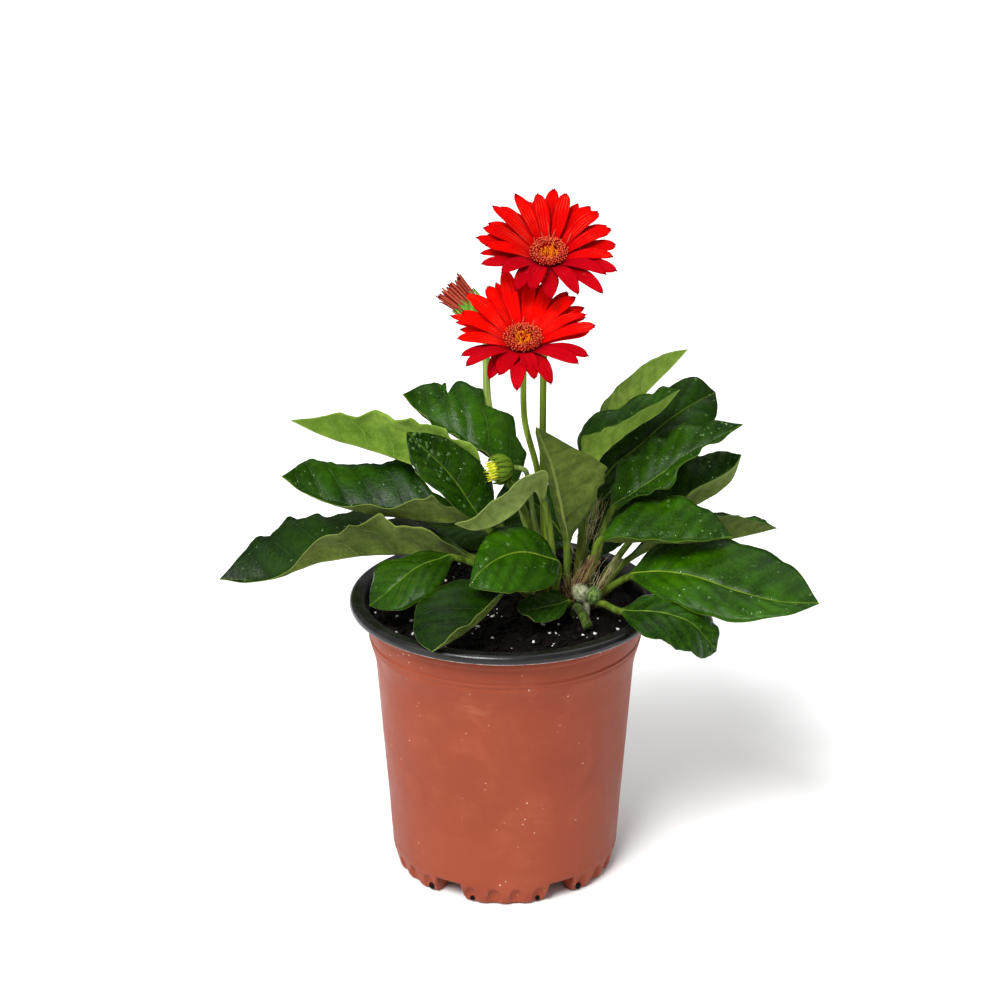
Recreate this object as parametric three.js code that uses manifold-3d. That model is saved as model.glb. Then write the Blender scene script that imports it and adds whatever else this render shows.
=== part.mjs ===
// A potted gerbera: a rosette of waved, folded leaves, two open red blooms, a half-open bud and a
// young bud, in potting mix, in a thin two-layer nursery pot that stands on six fluted feet.
//
// Millimetres, +Z up. The origin is on the pot's axis, on the surface that the feet stand on.
// +X is to the right and -Y to the front, the side that the blooms look to.
import * as THREE from 'three';
import Module from 'manifold-3d';

const wasm = await Module();
wasm.setup();

// ---------------------------------------------------------------- driving dimensions

const RUNNING_GAP = 0.3; // between pieces that rest in or on one another

// pot, as (height, outer radius) of the terracotta skin above its feet
const POT_WALL = [[12.5, 67.1], [40, 68.8], [127, 75], [133, 75.6], [143, 78.6], [163.4, 80.6]];
const SKIN_THICKNESS = 0.9;
const LINING_THICKNESS = 0.9;
const RIM_Z = 169.3;
const LIP_RADIUS = 90;
const FOOT_COUNT = 6;
const FOOT_STEPS = 15; // steps of 3 degrees over a foot, three to a flute
const ARCH_STEPS = 5; // steps of 3 degrees over the arch between two feet
const FOOT_SOLE_RADIUS = 63.4;
const FOOT_INNER_RADIUS = 54;
const ARCH_HEIGHT = 12.5;
const FLUTE_DEPTH = 1.3;

// potting mix
const SOIL_Z = 158;
const SOIL_FLAT_RADIUS = 30; // the mix is level round the crown
const SOIL_BUMP = 1.3;
const CROWN = [36, 12]; // where the rosette grows from, on the mix
const ROOT_DEPTH = 8; // how deep petioles and scapes stand in the mix

// leaves
const PETIOLE_RADIUS = 1.9;
const BLADE_THICKNESS = 0.8;
const STEPS_PER_LOBE = 2;
const LOBE_DEPTH = 0.2; // of the half blade's width
const RUFFLE = 1.4;
const PILLOW = 0.07; // how far each half blade is crowned, of its width

// blooms
const RAY_ROOT_RADIUS = 8;
const RAY_HALF_WIDTH = 4.4;
const RAY_THICKNESS = 0.8;
const DISC_RADIUS = 10.5;
const DISC_SIDES = 22;
const SCAPE_SIDES = 6;

// colours
const COLOURS = {
  terracotta: 0xb35c46,
  black_plastic: 0x2b2b2d,
  potting_mix: 0x1f1512,
  leaf_green: 0x3c6e1e,
  lime_leaf: 0x86a84a,
  scape_green: 0x8fa858,
  petal_red: 0xe8150c,
  disc_gold: 0xb8702c,
  bud_salmon: 0xb5604a,
  bud_yellow: 0xc8cc3c,
};

// ---------------------------------------------------------------- solids from points and faces

const add = (a, b, k = 1) => [a[0] + k * b[0], a[1] + k * b[1], a[2] + k * b[2]];
const lerp = (a, b, k) => add(a, add(b, a, -1), k);
const cross = (a, b) => [a[1] * b[2] - a[2] * b[1], a[2] * b[0] - a[0] * b[2], a[0] * b[1] - a[1] * b[0]];
const dot = (a, b) => a[0] * b[0] + a[1] * b[1] + a[2] * b[2];
const length = (a) => Math.hypot(a[0], a[1], a[2]);
const unit = (a) => add([0, 0, 0], a, 1 / Math.max(length(a), 1e-9));
const smooth = (x) => {
  const k = Math.min(Math.max(x, 0), 1);
  return k * k * (3 - 2 * k);
};

// the same pseudo-random numbers every time
function seeded(seed) {
  let state = seed;
  return () => {
    state = (state * 1664525 + 1013904223) % 4294967296;
    return state / 4294967296;
  };
}

// faces are turned over together if they point inwards
function closedSolid(points, faces) {
  let volume = 0;
  for (const [a, b, c] of faces) {
    volume += dot(points[a], cross(points[b], points[c]));
  }
  return { points, faces: volume < 0 ? faces.map(([a, b, c]) => [a, c, b]) : faces };
}

// a skin over rings of equal count, closed by fans; quads from ring place `turned` on take the
// other diagonal, so that the two faces of a thin blade are split alike
function loft(rings, turned = Infinity) {
  const n = rings[0].length;
  const points = rings.flat();
  const faces = [];
  for (let i = 0; i + 1 < rings.length; i += 1) {
    for (let j = 0; j < n; j += 1) {
      const k = (j + 1) % n;
      const [a, b, c, d] = [i * n + j, (i + 1) * n + j, (i + 1) * n + k, i * n + k];
      if (j < turned) faces.push([a, b, c], [a, c, d]);
      else faces.push([a, b, d], [b, c, d]);
    }
  }
  const last = (rings.length - 1) * n;
  for (let j = 1; j + 1 < n; j += 1) {
    faces.push([0, j, j + 1], [last, last + j + 1, last + j]);
  }
  return closedSolid(points, faces);
}

// a body of revolution whose profile starts and ends on the axis; `shape(radius, z, turn, k)` may
// move each point of ring k, and rings may have one of two counts, of which one is twice the other
function turned(profile, count, shape = (r, z) => [r, z]) {
  const points = [];
  const faces = [];
  const rings = profile.map(([r, z, fine], k) => {
    const first = points.length;
    if (r === 0) {
      points.push([0, 0, z]);
      return { first, steps: 1 };
    }
    const steps = fine ? count * 2 : count;
    for (let i = 0; i < steps; i += 1) {
      const angle = (2 * Math.PI * i) / steps;
      const [rr, zz] = shape(r, z, i / steps, k);
      points.push([rr * Math.cos(angle), rr * Math.sin(angle), zz]);
    }
    return { first, steps };
  });
  for (let k = 0; k + 1 < rings.length; k += 1) {
    const [p, q] = [rings[k], rings[k + 1]];
    const steps = Math.max(p.steps, q.steps);
    for (let i = 0; i < steps; i += 1) {
      const at = (ring, j) => ring.first + Math.floor((j * ring.steps) / steps) % ring.steps;
      const [a, b, c, d] = [at(p, i), at(q, i), at(q, i + 1), at(p, i + 1)];
      if (a !== d) faces.push([a, c, d]);
      if (b !== c) faces.push([a, b, c]);
    }
  }
  return closedSolid(points, faces);
}

function moved(solid, matrix) {
  const points = solid.points.map((p) => new THREE.Vector3(...p).applyMatrix4(matrix).toArray());
  return { points, faces: solid.faces };
}

function toManifold({ points, faces }) {
  return new wasm.Manifold(new wasm.Mesh({
    numProp: 3,
    vertProperties: Float32Array.from(points.flat()),
    triVerts: Uint32Array.from(faces.flat()),
  }));
}

function fromManifold(manifold) {
  const mesh = manifold.getMesh();
  const points = [];
  const faces = [];
  for (let i = 0; i < mesh.numVert; i += 1) points.push([...mesh.vertProperties.slice(3 * i, 3 * i + 3)]);
  for (let i = 0; i < mesh.numTri; i += 1) faces.push([...mesh.triVerts.slice(3 * i, 3 * i + 3)]);
  return { points, faces };
}

const fused = (solids) => fromManifold(solids.map(toManifold).reduce((a, b) => a.add(b)));
function cut(solid, tools) {
  return fromManifold(tools.map(toManifold).reduce((a, b) => a.subtract(b), toManifold(solid)));
}

function part(name, solid, colour, roughness = 0.6) {
  const geometry = new THREE.BufferGeometry();
  geometry.setAttribute('position', new THREE.Float32BufferAttribute(solid.points.flat(), 3));
  geometry.setIndex(solid.faces.flat());
  geometry.computeVertexNormals();
  const material = new THREE.MeshStandardMaterial({ color: COLOURS[colour], roughness, metalness: 0 });
  const mesh = new THREE.Mesh(geometry, material);
  mesh.name = name;
  return mesh;
}

const curveThrough = (points) => new THREE.CatmullRomCurve3(
  points.map((p) => new THREE.Vector3(...p)), false, 'centripetal');

// a round stem along a curve, with its radius given at both ends
function stem(points, rootRadius, tipRadius, steps) {
  const curve = curveThrough(points);
  const rings = [];
  let side = [1, 0, 0];
  for (let i = 0; i <= steps; i += 1) {
    const u = i / steps;
    const tangent = curve.getTangent(u).toArray();
    const up = unit(cross(tangent, side));
    side = unit(cross(up, tangent));
    const radius = rootRadius + (tipRadius - rootRadius) * u;
    const centre = curve.getPoint(u).toArray();
    rings.push(Array.from({ length: SCAPE_SIDES }, (_, j) => {
      const angle = (2 * Math.PI * j) / SCAPE_SIDES;
      return add(add(centre, side, radius * Math.cos(angle)), up, radius * Math.sin(angle));
    }));
  }
  return loft(rings);
}

// ---------------------------------------------------------------- pot

const STEPS_PER_FOOT = FOOT_STEPS + ARCH_STEPS;
const FINE_STEPS = FOOT_COUNT * STEPS_PER_FOOT;
const FOOT_TURN = 0.75 - (FOOT_STEPS / 2) / FINE_STEPS; // the first foot is centred on the front

// how far along its foot, in steps, a turn of the pot lies; past FOOT_STEPS it is in an arch
function stepOnFoot(turn) {
  const steps = (turn - FOOT_TURN + 1) * FINE_STEPS;
  return ((steps % STEPS_PER_FOOT) + STEPS_PER_FOOT) % STEPS_PER_FOOT;
}

const onFoot = (turn) => stepOnFoot(turn) <= FOOT_STEPS + 0.01;

// feet end in arches, and their outer face is gathered in flutes with a narrow groove between
function footShape(radius, z, turn) {
  if (z >= ARCH_HEIGHT || radius < FOOT_INNER_RADIUS) return [radius, z];
  if (!onFoot(turn)) return [radius, ARCH_HEIGHT - 0.2 * (1 - z / ARCH_HEIGHT)];
  const groove = Math.round(stepOnFoot(turn)) % 3 === 0;
  const deep = groove && radius > FOOT_INNER_RADIUS + 1;
  return [radius - (deep ? FLUTE_DEPTH * (1 - z / ARCH_HEIGHT) + 0.3 : 0), z];
}

function wallRadius(z) {
  const k = Math.max(1, POT_WALL.findIndex(([height]) => height >= z));
  const [[z0, r0], [z1, r1]] = [POT_WALL[k - 1], POT_WALL[k]];
  return r0 + ((r1 - r0) * (z - z0)) / (z1 - z0);
}

const wall = (z, inset) => [wallRadius(z) - inset, z];
const FLOOR_Z = ARCH_HEIGHT + 1;

function potSkin() {
  const outside = POT_WALL.slice(1).map(([z]) => wall(z, 0));
  const inside = [163.4, 143, 133, FLOOR_Z + 1].map((z) => wall(z, SKIN_THICKNESS));
  return turned([
    [0, FLOOR_Z],
    [FOOT_INNER_RADIUS - 1.5, FLOOR_Z],
    [FOOT_INNER_RADIUS, 0, true],
    [FOOT_SOLE_RADIUS, 0, true],
    [FOOT_SOLE_RADIUS + 2.5, 6, true],
    [POT_WALL[0][1], ARCH_HEIGHT, true],
    ...outside,
    ...inside,
    [0, FLOOR_Z + 1],
  ], FINE_STEPS / 2, footShape);
}

function potLining() {
  const outer = SKIN_THICKNESS + RUNNING_GAP;
  const inner = outer + LINING_THICKNESS;
  const floor = FLOOR_Z + 1 + RUNNING_GAP;
  return turned([
    [0, floor],
    wall(floor, outer),
    wall(133, outer),
    wall(143, outer),
    wall(163.4, outer),
    [82, 165.4],
    [88, 164],
    [LIP_RADIUS - 0.4, 164.4],
    [LIP_RADIUS, 166.4],
    [LIP_RADIUS - 1.2, RIM_Z - 0.6],
    [LIP_RADIUS - 2.6, RIM_Z],
    [83, RIM_Z],
    [80.6, RIM_Z - 1.6],
    wall(163.4, inner),
    wall(143, inner),
    wall(133, inner),
    wall(floor + LINING_THICKNESS, inner),
    [0, floor + LINING_THICKNESS],
  ], 36);
}

// ---------------------------------------------------------------- leaves

// Each leaf stands at `root`, (distance, degrees) round the crown. `midrib` runs from the blade's
// start to its tip; `far` and `near` are the blade's two margins beside the midrib's middle points.
const LEAVES = [
  { name: 'leaf_left_low',
    root: [19, 172],
    midrib: [[-20, 14, 186], [-43, 21, 184], [-74, 30, 180], [-110, 39, 171], [-141, 47, 157], [-172, 54, 155]],
    far: [[-42, 35, 196], [-75, 50, 197], [-114, 62, 191], [-146, 66, 177]],
    near: [[-43, 9, 203], [-72, 16, 207], [-106, 26, 192], [-141, 38, 162]], lobes: 5 },
  { name: 'leaf_left_mid',
    root: [19, 186],
    midrib: [[-15, 12, 208], [-40, 18, 206], [-66, 22, 207], [-93, 26, 211], [-114, 29, 218], [-130, 30, 230]],
    far: [[-40, 27, 221], [-64, 44, 233], [-91, 48, 229], [-114, 46, 233]],
    near: [[-41, 4, 225], [-67, 10, 220], [-89, 15, 218], [-111, 18, 222]], lobes: 4, wave: 0.8 },
  { name: 'leaf_left_high',
    root: [19, 158], lime: true,
    midrib: [[-11, 21, 215], [-33, 26, 229], [-57, 30, 238], [-80, 36, 244], [-104, 41, 250], [-125, 46, 259]],
    far: [[-31, 38, 233], [-57, 50, 241], [-84, 59, 245], [-108, 56, 251]],
    near: [[-18, 17, 250], [-42, 20, 262], [-70, 28, 267], [-98, 36, 265]], lobes: 5, wave: 0.6 },
  { name: 'leaf_left_upright',
    root: [19, 202],
    midrib: [[-10, 2, 209], [-18, 0, 221], [-27, 1, 235], [-36, 3, 246], [-47, 6, 256], [-56, 8, 265]],
    far: [[-8, 8, 221], [-10, 12, 236], [-22, 14, 250], [-38, 14, 260]],
    near: [[-25, -8, 224], [-38, -9, 237], [-50, -6, 247], [-54, 0, 256]], lobes: 4, wave: 0.4 },
  { name: 'leaf_back_left',
    root: [15, 112],
    midrib: [[5, 24, 224], [-5, 31, 238], [-20, 37, 246], [-34, 44, 252], [-48, 52, 259], [-60, 58, 271]],
    far: [[10, 42, 240], [-6, 55, 261], [-25, 64, 274], [-45, 70, 273]],
    near: [[-5, 22, 242], [-20, 27, 251], [-34, 33, 257], [-48, 42, 264]], lobes: 4, wave: 0.9 },
  { name: 'leaf_front_curled',
    root: [12, 250],
    midrib: [[22, -9, 229], [16, -15, 238], [6, -22, 228], [-7, -27, 221], [-18, -30, 220], [-28, -33, 225]],
    far: [[16, -4, 242], [5, -8, 236], [-8, -13, 229], [-19, -20, 222]],
    near: [[22, -24, 253], [8, -30, 249], [-4, -34, 241], [-17, -36, 230]], lobes: 3, wave: 0.3 },
  { name: 'leaf_centre_upright',
    root: [8, 272],
    midrib: [[35, -4, 204], [32, -8, 221], [29, -12, 237], [25, -16, 254], [21, -19, 267], [17, -21, 278]],
    far: [[46, -2, 220], [52, -4, 235], [54, -8, 249], [35, -15, 265]],
    near: [[30, -11, 224], [26, -14, 241], [22, -17, 256], [19, -19, 268]], lobes: 2, wave: 0.5 },
  { name: 'leaf_back_right_tall',
    root: [14, 72], lime: true,
    midrib: [[64, 68, 229], [70, 73, 244], [78, 78, 257], [87, 82, 267], [98, 86, 277], [109, 89, 289]],
    far: [[65, 82, 242], [75, 88, 259], [87, 90, 269], [97, 90, 278]],
    near: [[57, 60, 261], [65, 64, 271], [78, 70, 281], [92, 78, 288]], lobes: 4, wave: 0.5 },
  { name: 'leaf_right_high',
    root: [5, 30],
    midrib: [[48, 18, 232], [55, 22, 244], [64, 26, 252], [75, 31, 259], [90, 37, 267], [101, 42, 279]],
    far: [[43, 38, 255], [60, 44, 265], [78, 48, 272], [91, 50, 277]],
    near: [[44, 12, 260], [55, 12, 265], [68, 16, 269], [87, 26, 277]], lobes: 4, wave: 0.7 },
  { name: 'leaf_back_right',
    root: [11, 45],
    midrib: [[51, 38, 212], [62, 46, 228], [80, 54, 241], [97, 64, 253], [114, 74, 261], [126, 83, 264]],
    far: [[57, 58, 243], [76, 68, 257], [94, 78, 266], [115, 86, 271]],
    near: [[68, 42, 217], [89, 46, 231], [109, 52, 246], [125, 69, 254]], lobes: 3, wave: 0.4 },
  { name: 'leaf_right_mid',
    root: [11, 8],
    midrib: [[62, 20, 213], [75, 21, 223], [87, 23, 231], [100, 27, 239], [119, 32, 250], [138, 36, 260]],
    far: [[65, 34, 229], [79, 40, 243], [97, 44, 252], [118, 44, 258]],
    near: [[78, 10, 227], [92, 12, 231], [107, 18, 247], [122, 26, 253]], lobes: 5 },
  { name: 'leaf_right_back',
    root: [17, 20],
    midrib: [[88, 30, 206], [98, 32, 207], [109, 34, 209], [122, 38, 214], [133, 43, 222], [139, 48, 237]],
    far: [[95, 48, 221], [104, 54, 230], [116, 58, 233], [131, 56, 235]],
    near: [[98, 22, 216], [104, 24, 220], [114, 28, 225], [133, 36, 234]], lobes: 3, wave: 0.5 },
  { name: 'leaf_right_glossy',
    root: [11, -35],
    midrib: [[55, -2, 203], [66, -5, 203], [83, -6, 203], [101, -6, 202], [115, -6, 204], [130, -5, 206]],
    far: [[67, 8, 215], [84, 15, 220], [102, 16, 221], [118, 10, 215]],
    near: [[66, -15, 211], [83, -18, 210], [100, -18, 209], [115, -13, 208]], lobes: 4, wave: 0.6 },
  { name: 'leaf_right_behind',
    root: [18, -2],
    midrib: [[70, 16, 182], [89, 24, 188], [110, 29, 188], [130, 34, 188], [145, 38, 190], [161, 42, 193]],
    far: [[88, 37, 192], [108, 46, 194], [128, 52, 198], [150, 52, 195]],
    near: [[88, 18, 199], [105, 19, 203], [124, 23, 208], [145, 32, 202]], lobes: 4, wave: 0.6 },
  { name: 'leaf_right_big',
    root: [17, -28],
    midrib: [[72, -6, 182], [84, -11, 187], [106, -20, 188], [131, -31, 183], [154, -42, 181], [175, -50, 184]],
    far: [[89, 10, 195], [113, 8, 200], [139, 0, 198], [162, -16, 193]],
    near: [[86, -29, 181], [105, -41, 177], [129, -50, 174], [156, -54, 179]], lobes: 5, wave: 0.25 },
  { name: 'leaf_right_low',
    root: [17, -50],
    midrib: [[66, -32, 171], [78, -42, 176], [91, -46, 176], [104, -47, 171], [113, -47, 161], [119, -46, 153]],
    far: [[82, -26, 179], [101, -26, 175], [114, -31, 170], [120, -38, 162]],
    near: [[74, -62, 173], [88, -64, 168], [101, -62, 161], [112, -53, 153]], lobes: 4, wave: 0.5 },
  { name: 'leaf_front_bright',
    root: [19, 246],
    midrib: [[30, -13, 192], [19, -22, 202], [8, -30, 207], [-4, -40, 207], [-13, -48, 203], [-20, -54, 196]],
    far: [[23, -13, 206], [9, -14, 214], [-5, -20, 216], [-15, -36, 209]],
    near: [[28, -34, 191], [14, -48, 192], [2, -56, 194], [-11, -58, 196]], lobes: 3, wave: 0.25 },
  { name: 'leaf_left_front',
    root: [19, 217],
    midrib: [[-30, -4, 193], [-40, -10, 194], [-50, -16, 192], [-59, -21, 186], [-68, -25, 179], [-77, -28, 173]],
    far: [[-44, 6, 192], [-60, 4, 188], [-72, -2, 187], [-76, -12, 180]],
    near: [[-36, -26, 187], [-45, -34, 182], [-56, -38, 177], [-66, -36, 174]], lobes: 3, wave: 0.3 },
  { name: 'leaf_front_over_lip',
    root: [19, 233],
    midrib: [[1, -36, 189], [-4, -48, 185], [-12, -60, 179], [-22, -71, 175], [-31, -79, 173], [-40, -86, 171]],
    far: [[-24, -34, 191], [-41, -44, 187], [-50, -58, 179], [-47, -74, 172]],
    near: [[-8, -56, 189], [-16, -68, 185], [-26, -79, 182], [-33, -85, 177]], lobes: 3, wave: 0.3 },
  { name: 'leaf_front_small',
    root: [19, 262],
    midrib: [[36, -16, 170], [30, -21, 171], [23, -25, 171], [16, -29, 171], [11, -32, 172], [7, -34, 174]],
    far: [[31, -12, 174], [23, -15, 175], [15, -20, 175], [9, -27, 175]],
    near: [[32, -32, 170], [25, -38, 169], [17, -41, 170], [10, -39, 173]], lobes: 3, wave: 0.4 },
  { name: 'leaf_behind_left',
    root: [19, 140],
    midrib: [[-3, 44, 187], [-12, 51, 187], [-22, 58, 186], [-33, 66, 184], [-44, 74, 181], [-54, 81, 178]],
    far: [[-10, 62, 197], [-22, 71, 196], [-35, 79, 192], [-47, 84, 186]],
    near: [[-14, 42, 181], [-25, 48, 180], [-36, 56, 178], [-48, 68, 176]], lobes: 3, wave: 0.5 },
  { name: 'leaf_behind_right',
    root: [18, 45],
    midrib: [[53, 38, 177], [57, 45, 187], [63, 52, 196], [73, 61, 204], [88, 71, 210], [104, 80, 214]],
    far: [[45, 49, 190], [49, 58, 203], [62, 68, 213], [82, 79, 219]],
    near: [[66, 40, 182], [74, 48, 189], [86, 59, 197], [99, 72, 206]], lobes: 3, wave: 0.5 },
  { name: 'leaf_behind_middle',
    root: [19, 85],
    midrib: [[38, 46, 180], [33, 51, 187], [27, 56, 194], [19, 61, 201], [10, 65, 207], [0, 67, 212]],
    far: [[42, 57, 194], [35, 64, 204], [25, 68, 210], [12, 70, 213]],
    near: [[26, 45, 178], [13, 49, 182], [2, 54, 189], [-6, 60, 200]], lobes: 3, wave: 0.5 },
];

function rootPlace([distance, degrees]) {
  const angle = THREE.MathUtils.degToRad(degrees);
  return [CROWN[0] + distance * Math.cos(angle), CROWN[1] + distance * Math.sin(angle)];
}

// how far out of its smooth line a margin stands: lobes along the blade, with narrow notches
const lobe = (v, lobes, phase) => Math.abs(Math.sin(Math.PI * (lobes * v + phase))) - 0.6;

function leaf({ root, midrib, far, near, lobes, wave = 1 }) {
  const [x, y] = rootPlace(root);
  const collar = [x, y, SOIL_Z + 2.5];
  const start = midrib[0];
  const reach = Math.hypot(start[0] - x, start[1] - y);
  const neck = add(lerp(collar, start, 0.45), [0, 0, 1], 0.1 * reach);
  const spine = curveThrough([collar, neck, ...midrib]);
  const spans = midrib.length + 1;
  const spineAt = (v) => spine.getPoint((2 + (spans - 2) * v) / spans).toArray();
  const tip = midrib[midrib.length - 1];
  const farMargin = curveThrough([start, ...far, tip]);
  const nearMargin = curveThrough([start, ...near, tip]);

  // the middle surface of each section: far margin, quarter, midrib, quarter, near margin; along
  // the petiole it is only a strip as wide as the stalk, square to it
  const steps = STEPS_PER_LOBE * (lobes + 1);
  const across = add(far[0], near[0], -1);
  const petiole = (centre, tangent) => {
    const side = unit(add(across, tangent, -dot(across, tangent)));
    const points = [1, 0.6, 0, -0.6, -1].map((k) => add(centre, side, k * PETIOLE_RADIUS));
    return { v: -1, points, facing: unit(cross(side, tangent)) };
  };
  const sections = [petiole([x, y, SOIL_Z - ROOT_DEPTH], [0, 0, 1]), petiole(collar, [0, 0, 1])];
  for (const u of [0.6, 1.4]) {
    sections.push(petiole(spine.getPoint(u / spans).toArray(), spine.getTangent(u / spans).toArray()));
  }
  for (let i = 0; i <= steps; i += 1) {
    const v = i / steps;
    const centre = spineAt(v);
    const envelope = Math.sqrt(Math.sin(Math.PI * v));
    const margin = (curve, phase) => lerp(centre, curve.getPoint(v).toArray(),
      1 + LOBE_DEPTH * wave * envelope * lobe(v, lobes, phase));
    const span = Math.min(Math.max(v, 0.1), 0.9);
    const sideways = unit(add(farMargin.getPoint(span).toArray(), nearMargin.getPoint(span).toArray(), -1));
    const room = i === steps ? 0.5 : PETIOLE_RADIUS * (1 - 0.6 * v);
    const outer = add(margin(farMargin, 0.15), sideways, room);
    const inner = add(margin(nearMargin, 0.45), sideways, -room);
    sections.push({ v, points: [outer, lerp(centre, outer, 0.5), centre, lerp(centre, inner, 0.5), inner] });
  }

  // the two faces, half a thickness to either side of the middle surface
  const half = BLADE_THICKNESS / 2;
  const rings = sections.map(({ v, points, facing }, i) => {
    const before = sections[Math.max(i - 1, 0)].points;
    const after = sections[Math.min(i + 1, sections.length - 1)].points;
    const blade = smooth(v * 6);
    const envelope = Math.sin(Math.PI * Math.max(v, 0));
    const crowned = PILLOW * 0.5 * length(add(points[0], points[4], -1)) * envelope;
    const round = 0.9 * PETIOLE_RADIUS * (1 - 0.75 * Math.max(v, 0));
    const upper = [];
    const lower = [];
    for (let j = 0; j < 5; j += 1) {
      const side = add(points[Math.max(j - 1, 0)], points[Math.min(j + 1, 4)], -1);
      const normal = facing ?? unit(cross(side, add(after[j], before[j], -1)));
      const ruffle = RUFFLE * wave * envelope * Math.sin(2 * Math.PI * (lobes * v + 0.3 * (j - 2)));
      const lift = [ruffle, crowned, 0, crowned, -ruffle][j];
      const stalk = [0.35, 0.8, 1, 0.8, 0.35][j] * PETIOLE_RADIUS;
      const under = [half, half, round, half, half][j];
      const centre = add(points[j], normal, lift * blade);
      upper.push(add(centre, normal, stalk + (half - stalk) * blade));
      lower.push(add(centre, normal, -(stalk + (under - stalk) * blade)));
    }
    return [...upper, ...lower.reverse()];
  });
  return loft(rings, 5);
}

// ---------------------------------------------------------------- scapes and blooms

// the frame of a flower head: its axis rises by `elevation` degrees and swings to the right of the
// front by `swing` degrees
function headMatrix(centre, elevation, swing) {
  const [e, s] = [THREE.MathUtils.degToRad(elevation), THREE.MathUtils.degToRad(swing)];
  const axis = new THREE.Vector3(Math.sin(s) * Math.cos(e), -Math.cos(s) * Math.cos(e), Math.sin(e));
  const right = new THREE.Vector3(Math.cos(s), Math.sin(s), 0);
  const up = new THREE.Vector3().crossVectors(axis, right);
  return new THREE.Matrix4().makeBasis(right, up, axis).setPosition(...centre);
}

const BLOOMS = [
  { name: 'upper_bloom', centre: [23.9, 6, 367.5], elevation: 58, swing: 1, cup: 27, seed: 11, root: [13, 180],
    scape: [[22.5, 12, 200], [21.5, 12, 260], [22, 13, 320]], radius: 2.0,
    rays: [[86, 33], [72, 30], [56, 31], [41, 28], [27, 28], [14, 27], [3, 28.5], [345, 28], [329, 34], [318, 31],
      [304, 38], [288, 34], [267, 26], [250, 26], [233, 25], [216, 25], [203, 32], [189, 27], [179, 32], [166, 29],
      [152, 30], [142, 31], [130, 31], [118, 29.5], [108, 29.5], [97, 28.5]] },
  { name: 'lower_bloom', centre: [9.8, -22, 326.5], elevation: 60, swing: -2, cup: 27, seed: 29, root: [13.5, 222],
    scape: [[23.5, 0, 210], [18, -3, 247], [11, -7, 277]], radius: 1.8,
    rays: [[119, 32], [107, 33], [96, 32], [84, 30], [73, 29], [62, 32], [51, 30], [40, 28], [31, 30], [20, 27.5],
      [8, 26], [357, 31], [336, 32], [312, 35], [294, 29.5], [279, 24], [265, 32], [249, 23], [238, 25], [228, 34.5],
      [213, 30], [197, 28.5], [183, 27], [171, 31.5], [158, 29], [147, 31], [134, 33]] },
];

// half width of a ray floret along its length, of its greatest
const RAY_OUTLINE = [[0, 0.4], [0.4, 0.88], [0.82, 0.95], [1, 0.24]];

function ray([degrees, reach], layer, cup, draw) {
  const rise = THREE.MathUtils.degToRad(cup + (layer ? 5.5 : 0) + 4 * (draw() - 0.5));
  const droop = 4.5 * (0.7 + 0.6 * draw());
  const twist = 0.16 * (draw() - 0.5);
  const angle = THREE.MathUtils.degToRad(degrees);
  const out = [Math.cos(angle), Math.sin(angle), 0];
  const side = [-Math.sin(angle), Math.cos(angle), 0];
  const base = layer ? 0.8 : -0.9;
  const rings = RAY_OUTLINE.map(([u, width]) => {
    const far = RAY_ROOT_RADIUS + reach * u;
    const z = base + reach * u * Math.tan(rise) - droop * u * u;
    const half = RAY_HALF_WIDTH * width;
    const centre = add([out[0] * far, out[1] * far, z], side, twist * reach * u * u);
    const trough = 0.7 * width * Math.sin(Math.PI * Math.min(u + 0.1, 1));
    const point = u === 1 ? 1.2 : 0;
    const left = add(add(centre, side, half), [0, 0, trough]);
    const right = add(add(centre, side, -half), [0, 0, trough]);
    const middle = add(centre, out, point);
    const thick = [0, 0, RAY_THICKNESS / 2];
    return [add(left, thick), add(middle, thick), add(right, thick),
      add(right, thick, -1), add(middle, thick, -1), add(left, thick, -1)];
  });
  return loft(rings, 3);
}

// rays round a collar, each with its own direction and reach; every second one stands higher
function rays({ rays: table, seed, cup }) {
  const draw = seeded(seed);
  const solids = [turned([[0, -1.9], [10.6, -1.9], [11, 1.0], [7.6, 1.5], [0, 1.5]], 12)];
  table.forEach((place, i) => solids.push(ray(place, i % 2, cup, draw)));
  return fused(solids);
}

// the domed disc, its open florets standing in a raised outer ring and its centre in bud
function disc() {
  const profile = [[0, 1.8], [6, 1.8], [DISC_RADIUS - 1.5, 4.6], [DISC_RADIUS - 0.5, 6], [8.8, 6.7],
    [7.2, 6.3], [5.2, 5.2], [2.8, 4.9], [0, 4.7]];
  return turned(profile, DISC_SIDES, (radius, z, step, k) => {
    if (k < 3) return [radius, z];
    const stands = (Math.round(step * DISC_SIDES) + k) % 2 === 0;
    return [radius + (stands && k === 3 ? 0.6 : 0), z + (stands ? 0.9 : -0.1)];
  });
}

// the green cup of bracts under a head, with pointed bract ends round its rim
function involucre(rim, depth, count) {
  const profile = [[0, -depth - 2], [2.2, -depth - 2], [3.4, -depth], [rim * 0.72, -depth * 0.6],
    [rim, -2.2 - RUNNING_GAP], [rim * 0.8, -2.2 - RUNNING_GAP], [0, -2.2 - RUNNING_GAP]];
  return turned(profile, count * 2, (radius, z, step, k) => {
    if (k < 3 || k > 4) return [radius, z];
    const bract = Math.round(step * count * 2) % 2 === 0;
    return [radius + (bract ? 0.7 : 0), z - (bract || k === 3 ? 0 : 1.6)];
  });
}

const scapeFoot = (root) => {
  const [x, y] = rootPlace(root);
  return [[x, y, SOIL_Z - ROOT_DEPTH], [x, y, SOIL_Z + 3]];
};

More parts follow.
